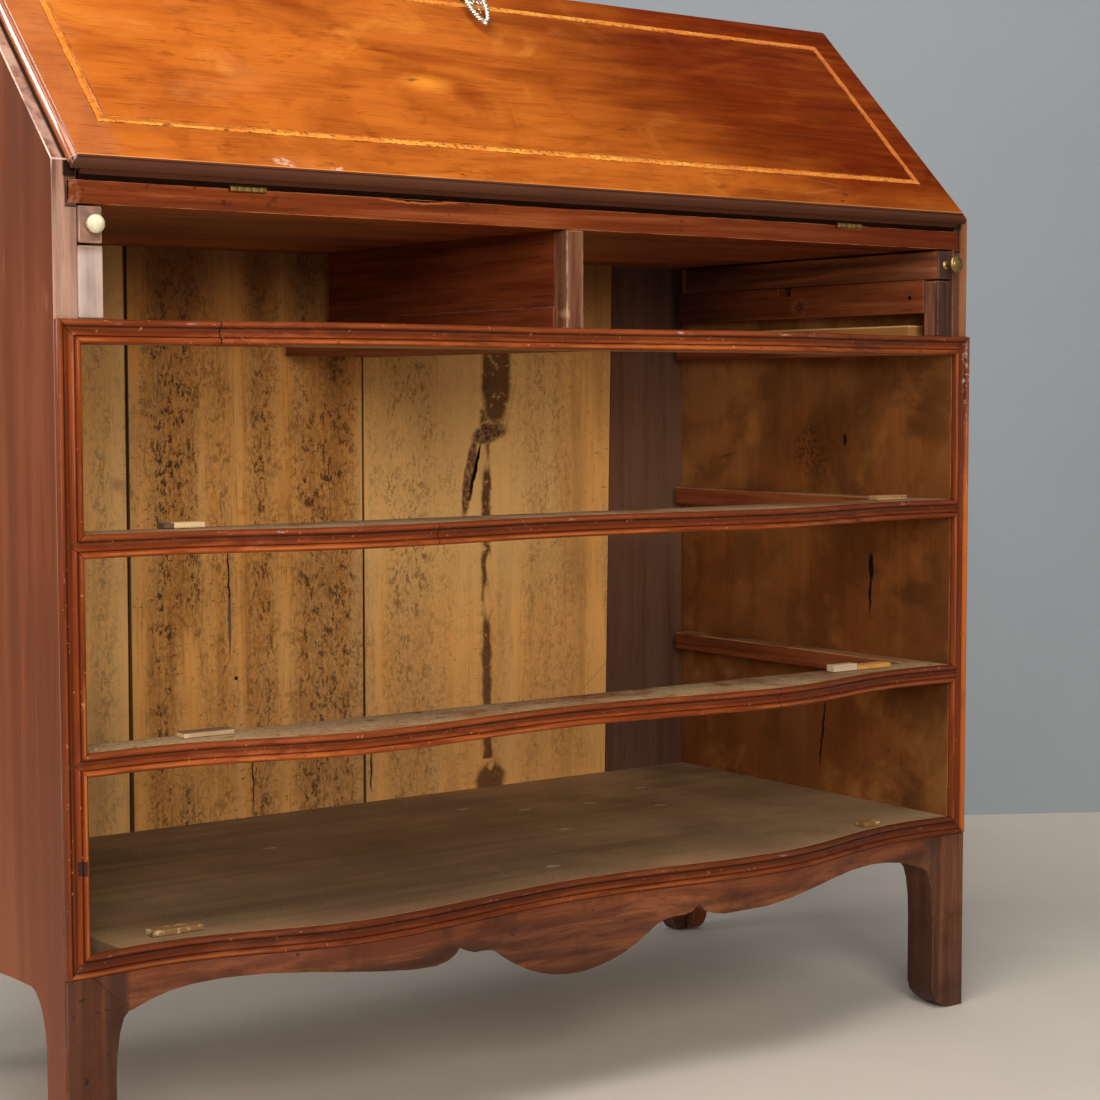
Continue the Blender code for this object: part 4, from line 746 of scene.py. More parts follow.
def rail_finish(arris):
    """Rails: red brown at the front, dusty on top; the hinge rail stays red."""
    finish = Finish("rail_wood" + ("_arris" if arris else ""), coat=0.04, coat_roughness=0.3, specular=0.08)
    shade = tuple(woods().rail)
    colour, streak, pore = wood_base(
        finish, "X", (darker(shade, 0.42), shade, blended(shade, tone(196, 116, 66), 0.5)), 0.01, 1.0
    )
    low = finish.z < 0.75
    dust = finish.place.noise(14.0, 5.0, 0.65).remap(0.26, 0.58)
    grit = finish.place.noise(420.0, 2.0, 0.6).remap(0.4, 0.65)
    grey = grit.mix(tone(136, 112, 82), tone(186, 160, 122))
    grey = (finish.z.remap(0.45, 0.4) * 0.3).mix(grey, tone(196, 166, 118))
    colour = (dust * low * 0.85).mix(colour, grey)
    ridge = finish.place.noise(70.0, 3.0, 0.65).remap(0.6, 0.68)
    colour = (ridge * 0.6).mix(colour, darker(shade, 0.22))
    high = 1.0 - low
    colour = (high * finish.x.remap(-0.05, 0.35, 0.0, 0.62)).mix(colour, tone(86, 28, 8))
    tight = finish.ragged(0.005, 80.0)
    hollow = high * tight.spot((-0.168, -0.2017, 0.8012), (0.04, 0.006, 0.003), 0.35)
    rim = high * tight.spot((-0.168, -0.2017, 0.8012), (0.046, 0.006, 0.0046), 0.3)
    colour = (rim * 0.7).mix(colour, tone(206, 112, 56))
    colour = hollow.mix(colour, tone(40, 18, 10))
    reach = abs(tight.part(0))
    chafed = (
        high
        * (finish.x < 0.0)
        * reach.remap(0.474, 0.482)
        * finish.place.noise(150.0, 3.0, 0.7).remap(0.42, 0.62)
    )
    colour = (chafed * 0.42).mix(colour, tone(176, 128, 104))
    butt = high * reach.remap(0.4862, 0.4868)
    colour = butt.mix(colour, tone(26, 14, 10))
    if arris:
        colour = high.mix(
            worn(finish, colour, tone(226, 150, 96), 0.65, 70.0), worn(finish, colour, tone(222, 146, 92), 0.85, 26.0)
        )
    roughness = low * 0.3 + streak.remap(0.3, 0.7, 0.38, 0.5)
    height = streak * 0.6 - pore * 0.5
    return finish.surface(colour, roughness, height, 0.28, 0.0006)


def apron_finish(arris):
    """Apron and feet: dull brown, darker towards the floor, nicked along the edge."""
    finish = Finish("apron_wood" + ("_arris" if arris else ""), coat=0.04, coat_roughness=0.3, specular=0.2)
    shade = tuple(woods().apron)
    level, streak, pore = wood_base(
        finish, "X", (darker(shade, 0.45), shade, blended(shade, tone(176, 104, 58), 0.42)), 0.014, 1.1
    )
    upright, _, _ = wood_base(
        finish, "Z", (darker(shade, 0.66), shade, blended(shade, tone(170, 108, 74), 0.36)), 0.012, 1.0,
        (0.08, 0.42, 0.5), 60.0,
    )
    foot = abs(finish.x).remap(0.444, 0.45)
    colour = foot.mix(level, upright)
    lit = finish.z.remap(0.16, 0.18)
    colour = (lit * (1.0 - foot) * 0.35).mix(colour, tone(136, 66, 30))
    # Painted shade on the feet's inner faces, behind the front.
    behind = (finish.y > -0.2046) * foot
    colour = (behind * 0.42).mix(colour, tone(48, 33, 26))
    # Darker towards the floor.
    near_floor = finish.z.remap(0.09, 0.0)
    colour = (near_floor * 0.5).mix(colour, tone(58, 38, 28))
    stain = finish.place.noise(17.0, 4.0, 0.65).remap(0.48, 0.7)
    colour = (stain * 0.5).mix(colour, darker(shade, 0.3))
    nick = finish.place.noise(110.0, 3.0, 0.7).remap(0.66, 0.71)
    colour = (nick * 0.8).mix(colour, tone(34, 20, 14))
    tight = finish.ragged(0.003, 120.0)
    chip = tight.spot((-0.287, -0.236, 0.152), (0.004, 0.03, 0.0016), 0.5)
    colour = chip.mix(colour, tone(206, 176, 136))
    if arris:
        colour = worn(finish, colour, tone(150, 98, 66), 0.3, 70.0)
    roughness = streak.remap(0.3, 0.7, 0.4, 0.56)
    height = streak * 0.6 - (pore | nick) * 0.7
    return finish.surface(colour, roughness, height, 0.3, 0.0006)


def pine_finish(arris):
    """Raw pale pine with mould speckles in upright bands, a pitch streak and a split knot."""
    finish = Finish("pale_pine" + ("_arris" if arris else ""))
    shade = tuple(woods().pine)
    colour, streak, _ = wood_base(
        finish, "Z", (blended(shade, tone(150, 96, 46), 0.75), shade, blended(shade, tone(226, 182, 120), 0.6)), 0.03,
        0.9, (0.12, 0.45, 0.45), 46.0,
    )
    plain = colour
    drawn = finish.place.shift(size=(1, 1, 5.5))
    bands = finish.place.shift((0.013, 0, 0), (1, 1, 9)).noise(20.0, 2.0, 0.5, 0.4)
    bands = bands.remap(0.44, 0.62)
    named = finish.either(
        finish.x.band(low, high, 0.014) * drawn.noise(16.0, 2.0).remap(0.28, 0.5) * weight
        for low, high, weight in (
            (-0.275, -0.25, 0.9), (-0.212, -0.15, 1.0), (-0.1, -0.068, 0.9),
            (-0.045, 0.028, 0.95), (0.066, 0.13, 1.0), (0.245, 0.322, 0.7),
        )
    )
    bands = bands * 0.55 | named
    dots = finish.place.shift(size=(1, 1, 2.0)).noise(250.0, 4.0, 0.75).remap(0.475, 0.53)
    coarse = finish.place.shift(size=(1, 1, 1.5)).noise(85.0, 4.0, 0.75).remap(0.47, 0.57)
    clump = finish.place.shift(size=(1, 1, 1.8)).noise(120.0, 5.0, 0.8).remap(0.55, 0.6) * coarse
    speck = bands * (dots * coarse | dots * 0.35 | clump)
    colour = (bands * 0.38).mix(colour, tone(146, 86, 34))
    colour = (speck * 0.94).mix(colour, tone(60, 30, 12))
    lone = finish.place.shift(size=(1, 1, 1.5)).cells(90.0).remap(0.16, 0.08)
    lone = lone * drawn.noise(24.0, 2.0).remap(0.54, 0.64)
    colour = (lone * 0.45).mix(colour, tone(78, 44, 20))
    drip = finish.place.shift((0.4, 0, 0), (1, 1, 16)).noise(52.0, 3.0, 0.6).remap(0.58, 0.7)
    colour = (drip * 0.26).mix(colour, tone(116, 68, 30))
    nib = finish.place.shift(size=(1.8, 1, 1)).noise(210.0, 3.0, 0.7).remap(0.6, 0.65)
    nib = nib * drawn.noise(13.0, 2.0).remap(0.4, 0.58)
    colour = (nib * 0.66).mix(colour, tone(98, 52, 20))
    crust = finish.place.shift((0.2, 0, 0.1), (1.3, 1, 1)).noise(46.0, 5.0, 0.72).remap(0.54, 0.62)
    crust = crust * drawn.noise(8.0, 2.0).remap(0.42, 0.6) * finish.place.noise(190.0, 3.0, 0.7).remap(0.36, 0.5)
    colour = (crust * 0.42).mix(colour, tone(132, 78, 32))
    loose = finish.ragged(0.012, 55.0)
    tight = finish.ragged(0.0055, 95.0)
    upper = loose.spot((0.212, 0.228, 0.66), (0.024, 0.2, 0.075), 0.35)
    stem = (
        loose.part(0).band(0.1925, 0.2045, 0.003)
        * (finish.z < 0.62)
        * (finish.z > 0.232)
        * finish.place.shift(size=(1, 1, 3)).noise(34.0, 2.0).remap(0.34, 0.46)
    )
    stain = loose.spot((0.203, 0.228, 0.208), (0.026, 0.2, 0.024), 0.4)
    knot = tight.spot((0.203, 0.228, 0.594), (0.03, 0.2, 0.013), 0.35, (0, math.radians(-14), 0))
    left_arm = tight.spot((0.1755, 0.228, 0.545), (0.009, 0.2, 0.054), 0.35, (0, math.radians(10), 0))
    right_arm = tight.spot((0.2335, 0.228, 0.63), (0.003, 0.2, 0.045), 0.5, (0, math.radians(14), 0))
    pitch = (upper | stem | stain) * finish.place.noise(65.0, 4.0, 0.7).remap(0.28, 0.44)
    colour = (pitch * 0.86).mix(colour, tone(72, 38, 22))
    bark = finish.place.noise(190.0, 3.0, 0.7).remap(0.4, 0.6).mix(tone(66, 40, 26), tone(164, 120, 80))
    colour = ((knot | left_arm) * 0.9).mix(colour, bark)
    colour = (right_arm * 0.6).mix(colour, tone(120, 74, 38))
    void = tight.spot((0.1835, 0.228, 0.553), (0.003, 0.2, 0.04), 0.4, (0, math.radians(14), 0))
    crack = (
        tight.spot((-0.1225, 0.228, 0.43), (0.0015, 0.2, 0.075), 0.4)
        | tight.spot((-0.0968, 0.228, 0.236), (0.0013, 0.2, 0.034), 0.4)
        | tight.spot((0.0468, 0.228, 0.24), (0.0016, 0.2, 0.036), 0.4)
    )
    smudge = loose.spot((-0.2441, 0.228, 0.5479), (0.0125, 0.2, 0.0125), 0.9)
    colour = (smudge * 0.72).mix(colour, tone(92, 62, 50))
    colour = (crack | void).mix(colour, tone(24, 14, 8))
    colour = (
        (finish.z - finish.x * 0.81).band(0.0295, 0.0315, 0.0008) * (finish.x > 0.32) * (finish.z < 0.335) * 0.5
    ).mix(colour, tone(110, 66, 30))
    pale_side = finish.x.remap(0.02, 0.09, 0.0, 0.36)
    colour = (pale_side * (1.0 - (pitch | crack | void | knot | left_arm))).mix(colour, tone(252, 190, 112))
    # Painted shadow: darker towards the top of the back.
    high = finish.z.remap(0.64, 0.76)
    colour = (high * 0.55).mix(colour, tone(110, 58, 24))
    # Nearly black along the top of the back: painted shadow.
    painted_top_shadow = (finish.z + bands * 0.03).remap(0.735, 0.785, 0.0, 0.42)
    colour = painted_top_shadow.mix(colour, tone(40, 20, 10))
    soaked = finish.x.band(-0.215, -0.052, 0.01) * bands * (finish.z > 0.69) * 0.36
    colour = soaked.mix(colour, tone(84, 42, 16))
    first = finish.x.band(-0.49, -0.236, 0.001)
    colour = (first * 0.34).mix(colour, tone(255, 206, 134))
    second = finish.x.band(-0.234, 0.038, 0.001)
    colour = (second * 0.14).mix(colour, tone(132, 84, 38))
    middle = finish.x.band(0.04, 0.3, 0.02) * finish.z.band(0.42, 0.68, 0.06)
    marked = pitch | crack | void | knot | left_arm | speck
    colour = (middle * (1.0 - marked) * 0.45).mix(colour, tone(255, 208, 132))
    lowest = finish.z.remap(0.4, 0.3)
    colour = (lowest * 0.16).mix(colour, tone(140, 96, 60))
    # Painted shade in the gaps between the boards.
    seams = [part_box(f"back_board_{number}") for number in (1, 2, 3)]
    seam = finish.either(
        finish.x.band(right[0].x - 0.0002, left[1].x + 0.0002, 0.0006) for left, right in zip(seams, seams[1:])
    )
    colour = (seam * 0.9).mix(colour, tone(28, 16, 10))
    rear = finish.y > BOARD_REAR
    weathered = drawn.noise(10.0, 4.0, 0.6).remap(0.3, 0.7, 0.35, 0.75).mix(plain, tone(134, 100, 68))
    weathered = ((knot | lone * 0.6) * 0.6).mix(weathered, tone(84, 54, 32))
    colour = rear.mix(colour, weathered)
    if arris:
        colour = finish.mix(0.5, colour, tone(96, 60, 32))
    roughness = streak.remap(0.3, 0.7, 0.72, 0.86)
    saw = finish.place.shift(size=(14, 1, 1)).noise(300.0, 2.0, 0.5)
    height = streak * 0.6 + saw * 0.25
    height = height - (crack | void | speck * 0.4)
    height = (knot | left_arm) * 0.8 + height
    return finish.surface(colour, roughness, height, 0.45, 0.0012)


def dark_pine_finish(arris):
    """The back board that was stained dark, with faint grey wear."""
    finish = Finish("dark_pine" + ("_arris" if arris else ""))
    shade = tuple(woods().dark_pine)
    colour, streak, pore = wood_base(
        finish, "Z", (darker(shade, 0.5), shade, blended(shade, tone(140, 100, 76), 0.45)), 0.02, 1.0,
        (0.1, 0.5, 0.45), 60.0,
    )
    cloud = finish.place.shift(size=(1, 1, 2.5)).noise(12.0, 4.0, 0.6).remap(0.42, 0.68)
    colour = (cloud * 0.5).mix(colour, tone(116, 86, 68))
    # Painted shadow: darker towards the top.
    high = finish.z.remap(0.62, 0.76)
    colour = (high * 0.55).mix(colour, tone(48, 27, 20))
    colour = finish.z.remap(0.5, 0.34, 0.0, 0.42).mix(colour, tone(50, 36, 28))
    rear = finish.y > BOARD_REAR
    colour = (rear * 0.5).mix(colour, tone(128, 96, 66))
    roughness = streak.remap(0.3, 0.7, 0.66, 0.8)
    return finish.surface(colour, roughness, streak - pore, 0.35, 0.0008)


def floor_finish(arris):
    """Bottom board under years of dust, with pale flecks and the drawers' rub marks."""
    finish = Finish("floor_pine" + ("_arris" if arris else ""))
    shade = tuple(woods().floor)
    colour, streak, _ = wood_base(
        finish, "X", (darker(shade, 0.5), darker(shade, 0.9), blended(shade, tone(160, 126, 88), 0.5)), 0.03, 1.1,
        (0.1, 0.45, 0.5), 52.0,
    )
    dust = finish.place.noise(8.0, 5.0, 0.7).remap(0.28, 0.62)
    grit = finish.place.noise(380.0, 3.0, 0.7)
    grey = grit.ramp([(0.35, tone(88, 70, 50)), (0.6, tone(124, 102, 76)), (0.75, tone(168, 146, 112))])
    colour = (dust * 0.7).mix(colour, grey)
    loose = finish.ragged(0.02, 30.0)
    tight = finish.ragged(0.008, 80.0)
    rub = (
        loose.spot((-0.4, -0.135, 0.2), (0.03, 0.075, 0.1), 0.9)
        | loose.spot((0.4, -0.13, 0.2), (0.045, 0.075, 0.1), 0.9)
    )
    colour = (rub * 0.55).mix(colour, tone(142, 104, 68))
    flake = finish.either(
        tight.spot((x, y, 0.2003), (0.01, 0.006, 0.1), 0.6)
        for x, y in (
            (0.281, 0.0249), (0.2285, 0.0789), (0.0051, -0.1554), (-0.1636, 0.0743),
            (0.12, -0.02), (0.33, 0.12), (0.1, 0.13), (0.15, 0.09),
        )
    )
    speck = finish.place.cells(80.0).remap(0.1, 0.04) * finish.place.noise(7.0, 1.0).remap(0.46, 0.58)
    colour = ((flake * grit.remap(0.42, 0.5) | speck) * 0.75).mix(colour, tone(206, 184, 146))
    ghost = tight.spot((-0.425, -0.183, 0.2003), (0.03, 0.012, 0.1), 0.35)
    colour = (ghost * 0.25).mix(colour, tone(170, 136, 96))
    paler = finish.x.remap(0.05, 0.35, 0.0, 0.5)
    colour = (paler * finish.place.noise(10.0, 4.0).remap(0.3, 0.6)).mix(colour, tone(184, 154, 112))
    front = finish.y.remap(-0.15, -0.23)
    colour = (front * 0.4).mix(colour, tone(112, 68, 42))
    under = finish.z < 0.1818
    colour = (under * 0.6).mix(colour, tone(140, 104, 70))
    if arris:
        colour = worn(finish, colour, tone(170, 120, 80), 0.5, 60.0)
    roughness = grit.remap(0.3, 0.7, 0.74, 0.9)
    height = streak * 0.5 + grit * 0.4
    return finish.surface(colour, roughness, height, 0.35, 0.0008)


def runner_finish(arris):
    """Runners and guides: red brown pine rubbed pale on top, with a knot in the notched guide."""
    finish = Finish("runner_wood" + ("_arris" if arris else ""))
    shade = tone(126, 64, 32)
    colour, streak, pore = wood_base(
        finish, "Y", (darker(shade, 0.42), shade, blended(shade, tone(186, 112, 66), 0.4)), 0.009, 1.0
    )
    strip = (
        finish.z.band(0.694, 0.7075, 0.0005)
        * (finish.x > 0.3)
        * finish.place.shift(size=(1, 5, 1)).noise(30.0, 3.0).remap(0.3, 0.5, 0.4, 1.0)
    )
    colour = (strip * finish.y.remap(0.1, -0.14, 0.2, 0.85)).mix(colour, tone(184, 130, 70))
    tip = strip * finish.z.remap(0.7045, 0.7062)
    colour = tip.mix(colour, tone(238, 196, 132))
    tops = finish.either(finish.z.band(top - 0.0012, top + 0.0002, 0.0004) for top in (0.3583, 0.5286, 0.6948))
    dust = finish.place.shift(size=(1, 3, 1)).noise(40.0, 4.0, 0.65).remap(0.3, 0.55)
    colour = (tops * dust * 0.8).mix(colour, tone(184, 144, 96))
    tight = finish.ragged(0.004, 90.0)
    burr = (
        tight.spot((0.456, 0.004, 0.7305), (0.05, 0.02, 0.0125), 0.6)
        * tight.noise(170.0, 3.0, 0.7).remap(0.38, 0.52)
    )
    colour = (burr * 0.36).mix(colour, tone(160, 100, 58))
    knot = tight.spot((0.456, 0.0038, 0.7299), (0.05, 0.01, 0.0075), 0.5)
    ringed = (tight.shift((0.456, 0.0038, 0.7299), (0.05, 0.01, 0.0075)).length() * 14.0).sine() * 0.5 + 0.5
    colour = (knot * 0.9).mix(colour, ringed.mix(tone(40, 16, 9), tone(120, 60, 34)))
    hole = finish.place.spot((0.456, -0.1619, 0.7348), (0.05, 0.0028, 0.0028), 0.3)
    colour = hole.mix(colour, tone(12, 6, 4))
    # Painted shadow towards the back of the bay.
    far = finish.y.remap(0.02, 0.19, 0.0, 0.72) * (finish.z > 0.709)
    colour = far.mix(colour, tone(24, 12, 8))
    if arris:
        colour = worn(finish, colour, tone(150, 92, 56), 0.3, 60.0)
    roughness = streak.remap(0.3, 0.7, 0.55, 0.7)
    height = streak - (pore | hole) * 0.8
    return finish.surface(colour, roughness, height, 0.35, 0.0006)


def stop_finish(arris):
    """Pale stops, split and grubby."""
    finish = Finish("stop_wood" + ("_arris" if arris else ""))
    shade = tone(204, 156, 96)
    colour, streak, pore = wood_base(
        finish, "X", (tone(140, 94, 50), shade, tone(226, 188, 132)), 0.005, 0.8, (0.3, 0.5, 0.3), 220.0
    )
    grime = finish.place.noise(60.0, 4.0, 0.7).remap(0.46, 0.64)
    colour = (grime * 0.5).mix(colour, tone(116, 78, 44))
    left = finish.x < 0.0
    colour = (left * 0.55).mix(colour, tone(250, 222, 170))
    soiled = (finish.z < 0.25) * finish.place.noise(110.0, 3.0, 0.7).remap(0.62, 0.5, 0.35, 0.92)
    colour = soiled.mix(colour, tone(122, 84, 42))
    middling = (finish.x > 0.0) * (finish.z > 0.5)
    colour = (middling * 0.45).mix(colour, tone(146, 104, 66))
    third = finish.z.band(0.3, 0.45, 0.002)
    amber = (finish.x > 0.3691) * third
    colour = (amber * 0.62).mix(colour, tone(222, 156, 70))
    chalk = finish.x.band(0.3, 0.3685, 0.0004) * third
    colour = (chalk * 0.7).mix(colour, tone(224, 204, 172))
    worn_top = left * third * (finish.z > 0.3624)
    colour = (worn_top * 0.88).mix(colour, tone(92, 58, 42))
    ashen = left * third * finish.x.remap(-0.386, -0.376) * (finish.z < 0.3624)
    colour = (ashen * 0.55).mix(colour, tone(136, 104, 84))
    stub = left * (finish.x < -0.3875) * (finish.z > 0.5)
    colour = (stub * 0.85).mix(colour, tone(44, 20, 14))
    return finish.surface(colour, streak.remap(0.3, 0.7, 0.6, 0.78), streak - pore, 0.4, 0.0006)


def block_finish(arris):
    """Loper blocks, lopers and the middle post: greyed, hand worn faces."""
    finish = Finish("block_wood" + ("_arris" if arris else ""), coat=0.05, coat_roughness=0.3)
    vertical, streak, pore = wood_base(
        finish, "Z", (tone(74, 42, 30), tone(136, 88, 64), tone(180, 134, 108)), 0.008, 0.9, (0.1, 0.55, 0.4), 150.0
    )
    level, _, _ = wood_base(finish, "Y", (tone(70, 36, 22), tone(134, 78, 48), tone(176, 118, 80)), 0.01, 0.9)
    bar = finish.z.band(0.7495, 0.7825, 0.0003) * (abs(finish.x) > 0.3)
    colour = bar.mix(vertical, level)
    face = finish.y < -0.2
    rub = finish.place.shift(size=(1, 1, 2.2)).noise(30.0, 5.0, 0.55).remap(0.25, 0.75)
    low_block = finish.z.remap(0.752, 0.742)
    pale = face * (rub * 0.5 + 0.35) * (finish.x < -0.3)
    pale = pale * (low_block * 0.65 + 0.25)
    colour = pale.mix(colour, tone(216, 200, 190))
    dull = face * (finish.x > 0.3) * 0.86
    colour = dull.mix(colour, tone(50, 31, 24))
    # Painted shadow over the lopers towards the back.
    far = bar * finish.y.remap(0.0, 0.17, 0.0, 0.75)
    colour = far.mix(colour, tone(24, 12, 8))
    post = abs(finish.x) < 0.1
    colour = (post * finish.z.remap(0.7, 0.78, 0.44, 0.62)).mix(colour, tone(92, 46, 22))
    tight = finish.ragged(0.004, 100.0)
    chip = tight.spot((-0.0105, -0.2018, 0.708), (0.0024, 0.02, 0.0065), 0.7)
    colour = (chip * 0.55).mix(colour, tone(206, 160, 120))
    if arris:
        rubbed = (finish.y < -0.195) * finish.x.remap(-0.05, 0.3, 0.6, 0.15)
        colour = worn(finish, colour, tone(206, 168, 140), rubbed, 60.0)
    roughness = streak.remap(0.3, 0.7, 0.42, 0.58)
    return finish.surface(colour, roughness, streak - pore, 0.3, 0.0006)


def plain_finish(name, along, shade, light, coat, roughness, ring):
    """Finish of the parts behind the fall, the top and the boards over the drawers."""

    def make(arris):
        finish = Finish(name + ("_arris" if arris else ""), coat=coat, coat_roughness=0.25)
        colour, streak, pore = wood_base(finish, along, (darker(shade, 0.42), shade, light), ring, 1.2)
        stain = finish.place.drawn(along, 0.35).noise(9.0, 4.0, 0.6).remap(0.46, 0.7)
        tinted = (stain * 0.45).mix(colour, darker(shade, 0.4))
        if arris:
            tinted = worn(finish, tinted, blended(light, (1, 1, 1), 0.12), 0.32, 60.0)
        height = streak - pore
        return finish.surface(tinted, streak.remap(0.3, 0.7, *roughness), height, 0.3, 0.0006)
    return make


# ---------------------------------------------------------------- metal and bone


def metal_finish(name, shade, dark, roughness=(0.28, 0.5), tarnish=0.6, scale=160.0):
    finish = Finish(name, metallic=1.0)
    cloud = finish.place.noise(scale, 5.0, 0.65)
    fine = finish.place.noise(scale * 6, 2.0, 0.6)
    cover = cloud.remap(0.4, 0.66)
    colour = (cover * tarnish).mix(shade, dark)
    rough = cover * (roughness[1] - roughness[0]) + roughness[0]
    height = cloud * 0.6 + fine * 0.4
    return finish.surface(colour, rough, height, 0.25, 0.0002)


def bone_finish():
    """Cream turned bone with faint rings and yellowed patches."""
    finish = Finish("bone", coat=0.3, coat_roughness=0.15)
    shade = tuple(fittings().bone)
    cloud = finish.place.noise(130.0, 4.0, 0.6)
    colour = cloud.ramp([(0.3, darker(shade, 0.72)), (0.5, shade), (0.75, blended(shade, (1, 1, 1), 0.3))])
    ring = (finish.y * 9000.0).sine().remap(0.6, 1.0)
    colour = (ring * 0.12).mix(colour, tone(150, 120, 70))
    base = finish.y.remap(-0.2045, -0.2025)
    colour = (base * 0.7).mix(colour, tone(96, 70, 40))
    finish.shader.inputs["Subsurface Weight"].default_value = 0.15
    finish.shader.inputs["Subsurface Radius"].default_value = (0.002, 0.0012, 0.0006)
    return finish.surface(colour, cloud.remap(0.3, 0.7, 0.28, 0.42), cloud, 0.1, 0.0002)


# ---------------------------------------------------------------- pieces


def only(*items):
    """Selects these objects and nothing else."""
    bpy.ops.object.select_all(action="DESELECT")
    for item in items:
        item.select_set(True)
    bpy.context.view_layer.objects.active = items[0]


def primitive(kind, scale=(1, 1, 1), location=(0, 0, 0), **settings):
    """A mesh primitive, with its place and scale in its mesh."""
    bpy.ops.object.select_all(action="DESELECT")
    getattr(bpy.ops.mesh, f"primitive_{kind}_add")(location=location, **settings)
    piece = bpy.context.object
    piece.scale = scale
    only(piece)
    bpy.ops.object.transform_apply(location=True, rotation=True, scale=True)
    return piece


def joined(items, name):
    only(*items)
    if len(items) > 1:
        bpy.ops.object.join()
    piece = bpy.context.view_layer.objects.active
    piece.name = name
    piece.data.name = name
    return piece


def covered(piece, *finishes):
    """Gives a piece these materials in place of any of its own."""
    piece.data.materials.clear()
    for material in finishes:
        piece.data.materials.append(material)


def smoothed(piece, degrees):
    only(piece)
    bpy.ops.object.shade_smooth_by_angle(angle=math.radians(degrees))


def run_modifier(piece, kind, **settings):
    """Adds one modifier and applies it."""
    modifier = piece.modifiers.new("Shape", kind)
    for name, value in settings.items():
        setattr(modifier, name, value)
    only(piece)
    bpy.ops.object.modifier_apply(modifier=modifier.name)


def eased(piece, width, segments, limit=30.0, material=-1):
    """Bevels the edges that are sharper than limit."""
    run_modifier(
        piece, "BEVEL", width=width, segments=segments, limit_method="ANGLE", angle_limit=math.radians(limit),
        material=material,
    )


def edge_slot(finishes):
    """The slot of the bevelled edges: the second, where there is one."""
    return 1 if len(finishes) > 1 else 0


def finish_board(node, finishes, width=None):
    """A packed board kept as it is, with worn arrises and its finish."""
    board = frame["nodes"][node]
    only(board)
    bpy.ops.object.shade_flat()
    bpy.ops.mesh.customdata_custom_splitnormals_clear()
    covered(board, *finishes)
    weld = board.modifiers.new("Closed", "WELD")
    weld.merge_threshold = MERGE
    planes = board.modifiers.new("Planes", "DECIMATE")
    planes.decimate_type = "DISSOLVE"
    planes.angle_limit = math.radians(0.4)
    bevel = board.modifiers.new("Arris", "BEVEL")
    bevel.width = width or fittings().arris
    bevel.segments = 2
    bevel.limit_method = "ANGLE"
    bevel.angle_limit = math.radians(30)
    bevel.material = edge_slot(finishes)


def refined(node, finishes, width, segments, limit, smooth):
    """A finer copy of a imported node, closed, eased and smoothed, in the node's place."""
    source = frame["nodes"][node]
    body = source["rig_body"]
    mesh = source.data.copy()
    piece = bpy.data.objects.new(node + "_fine", mesh)
    bpy.context.scene.collection.objects.link(piece)
    mesh.name = piece.name
    covered(piece, *finishes)
    only(piece)
    bpy.ops.mesh.customdata_custom_splitnormals_clear()
    bpy.ops.object.mode_set(mode="EDIT")
    bpy.ops.mesh.select_all(action="SELECT")
    bpy.ops.mesh.remove_doubles(threshold=MERGE)
    bpy.ops.mesh.dissolve_limited(angle_limit=math.radians(0.3))
    bpy.ops.mesh.normals_make_consistent(inside=False)
    bpy.ops.object.mode_set(mode="OBJECT")
    eased(piece, width, segments, limit, edge_slot(finishes))
    smoothed(piece, smooth)
    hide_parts(node)
    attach(piece, body)
    return piece


def spun(name, profile, origin):
    """A turned piece: out-and-round pairs spun about an axis towards the front."""
    mesh = bpy.data.meshes.new(name)
    points = [Vector((origin[0] + radius, origin[1] - out, origin[2])) for out, radius in profile]
    mesh.from_pydata(points, [(index, index + 1) for index in range(len(points) - 1)], [])
    piece = bpy.data.objects.new(name, mesh)
    bpy.context.scene.collection.objects.link(piece)
    only(piece)
    bpy.ops.object.mode_set(mode="EDIT")
    bpy.ops.mesh.select_all(action="SELECT")
    bpy.ops.mesh.spin(steps=SPIN_STEPS, angle=math.tau, center=origin, axis=(0, 1, 0))
    bpy.ops.mesh.select_all(action="SELECT")
    bpy.ops.mesh.remove_doubles(threshold=1e-6)
    bpy.ops.mesh.normals_make_consistent(inside=False)
    bpy.ops.object.mode_set(mode="OBJECT")
    smoothed(piece, 40)
    return piece


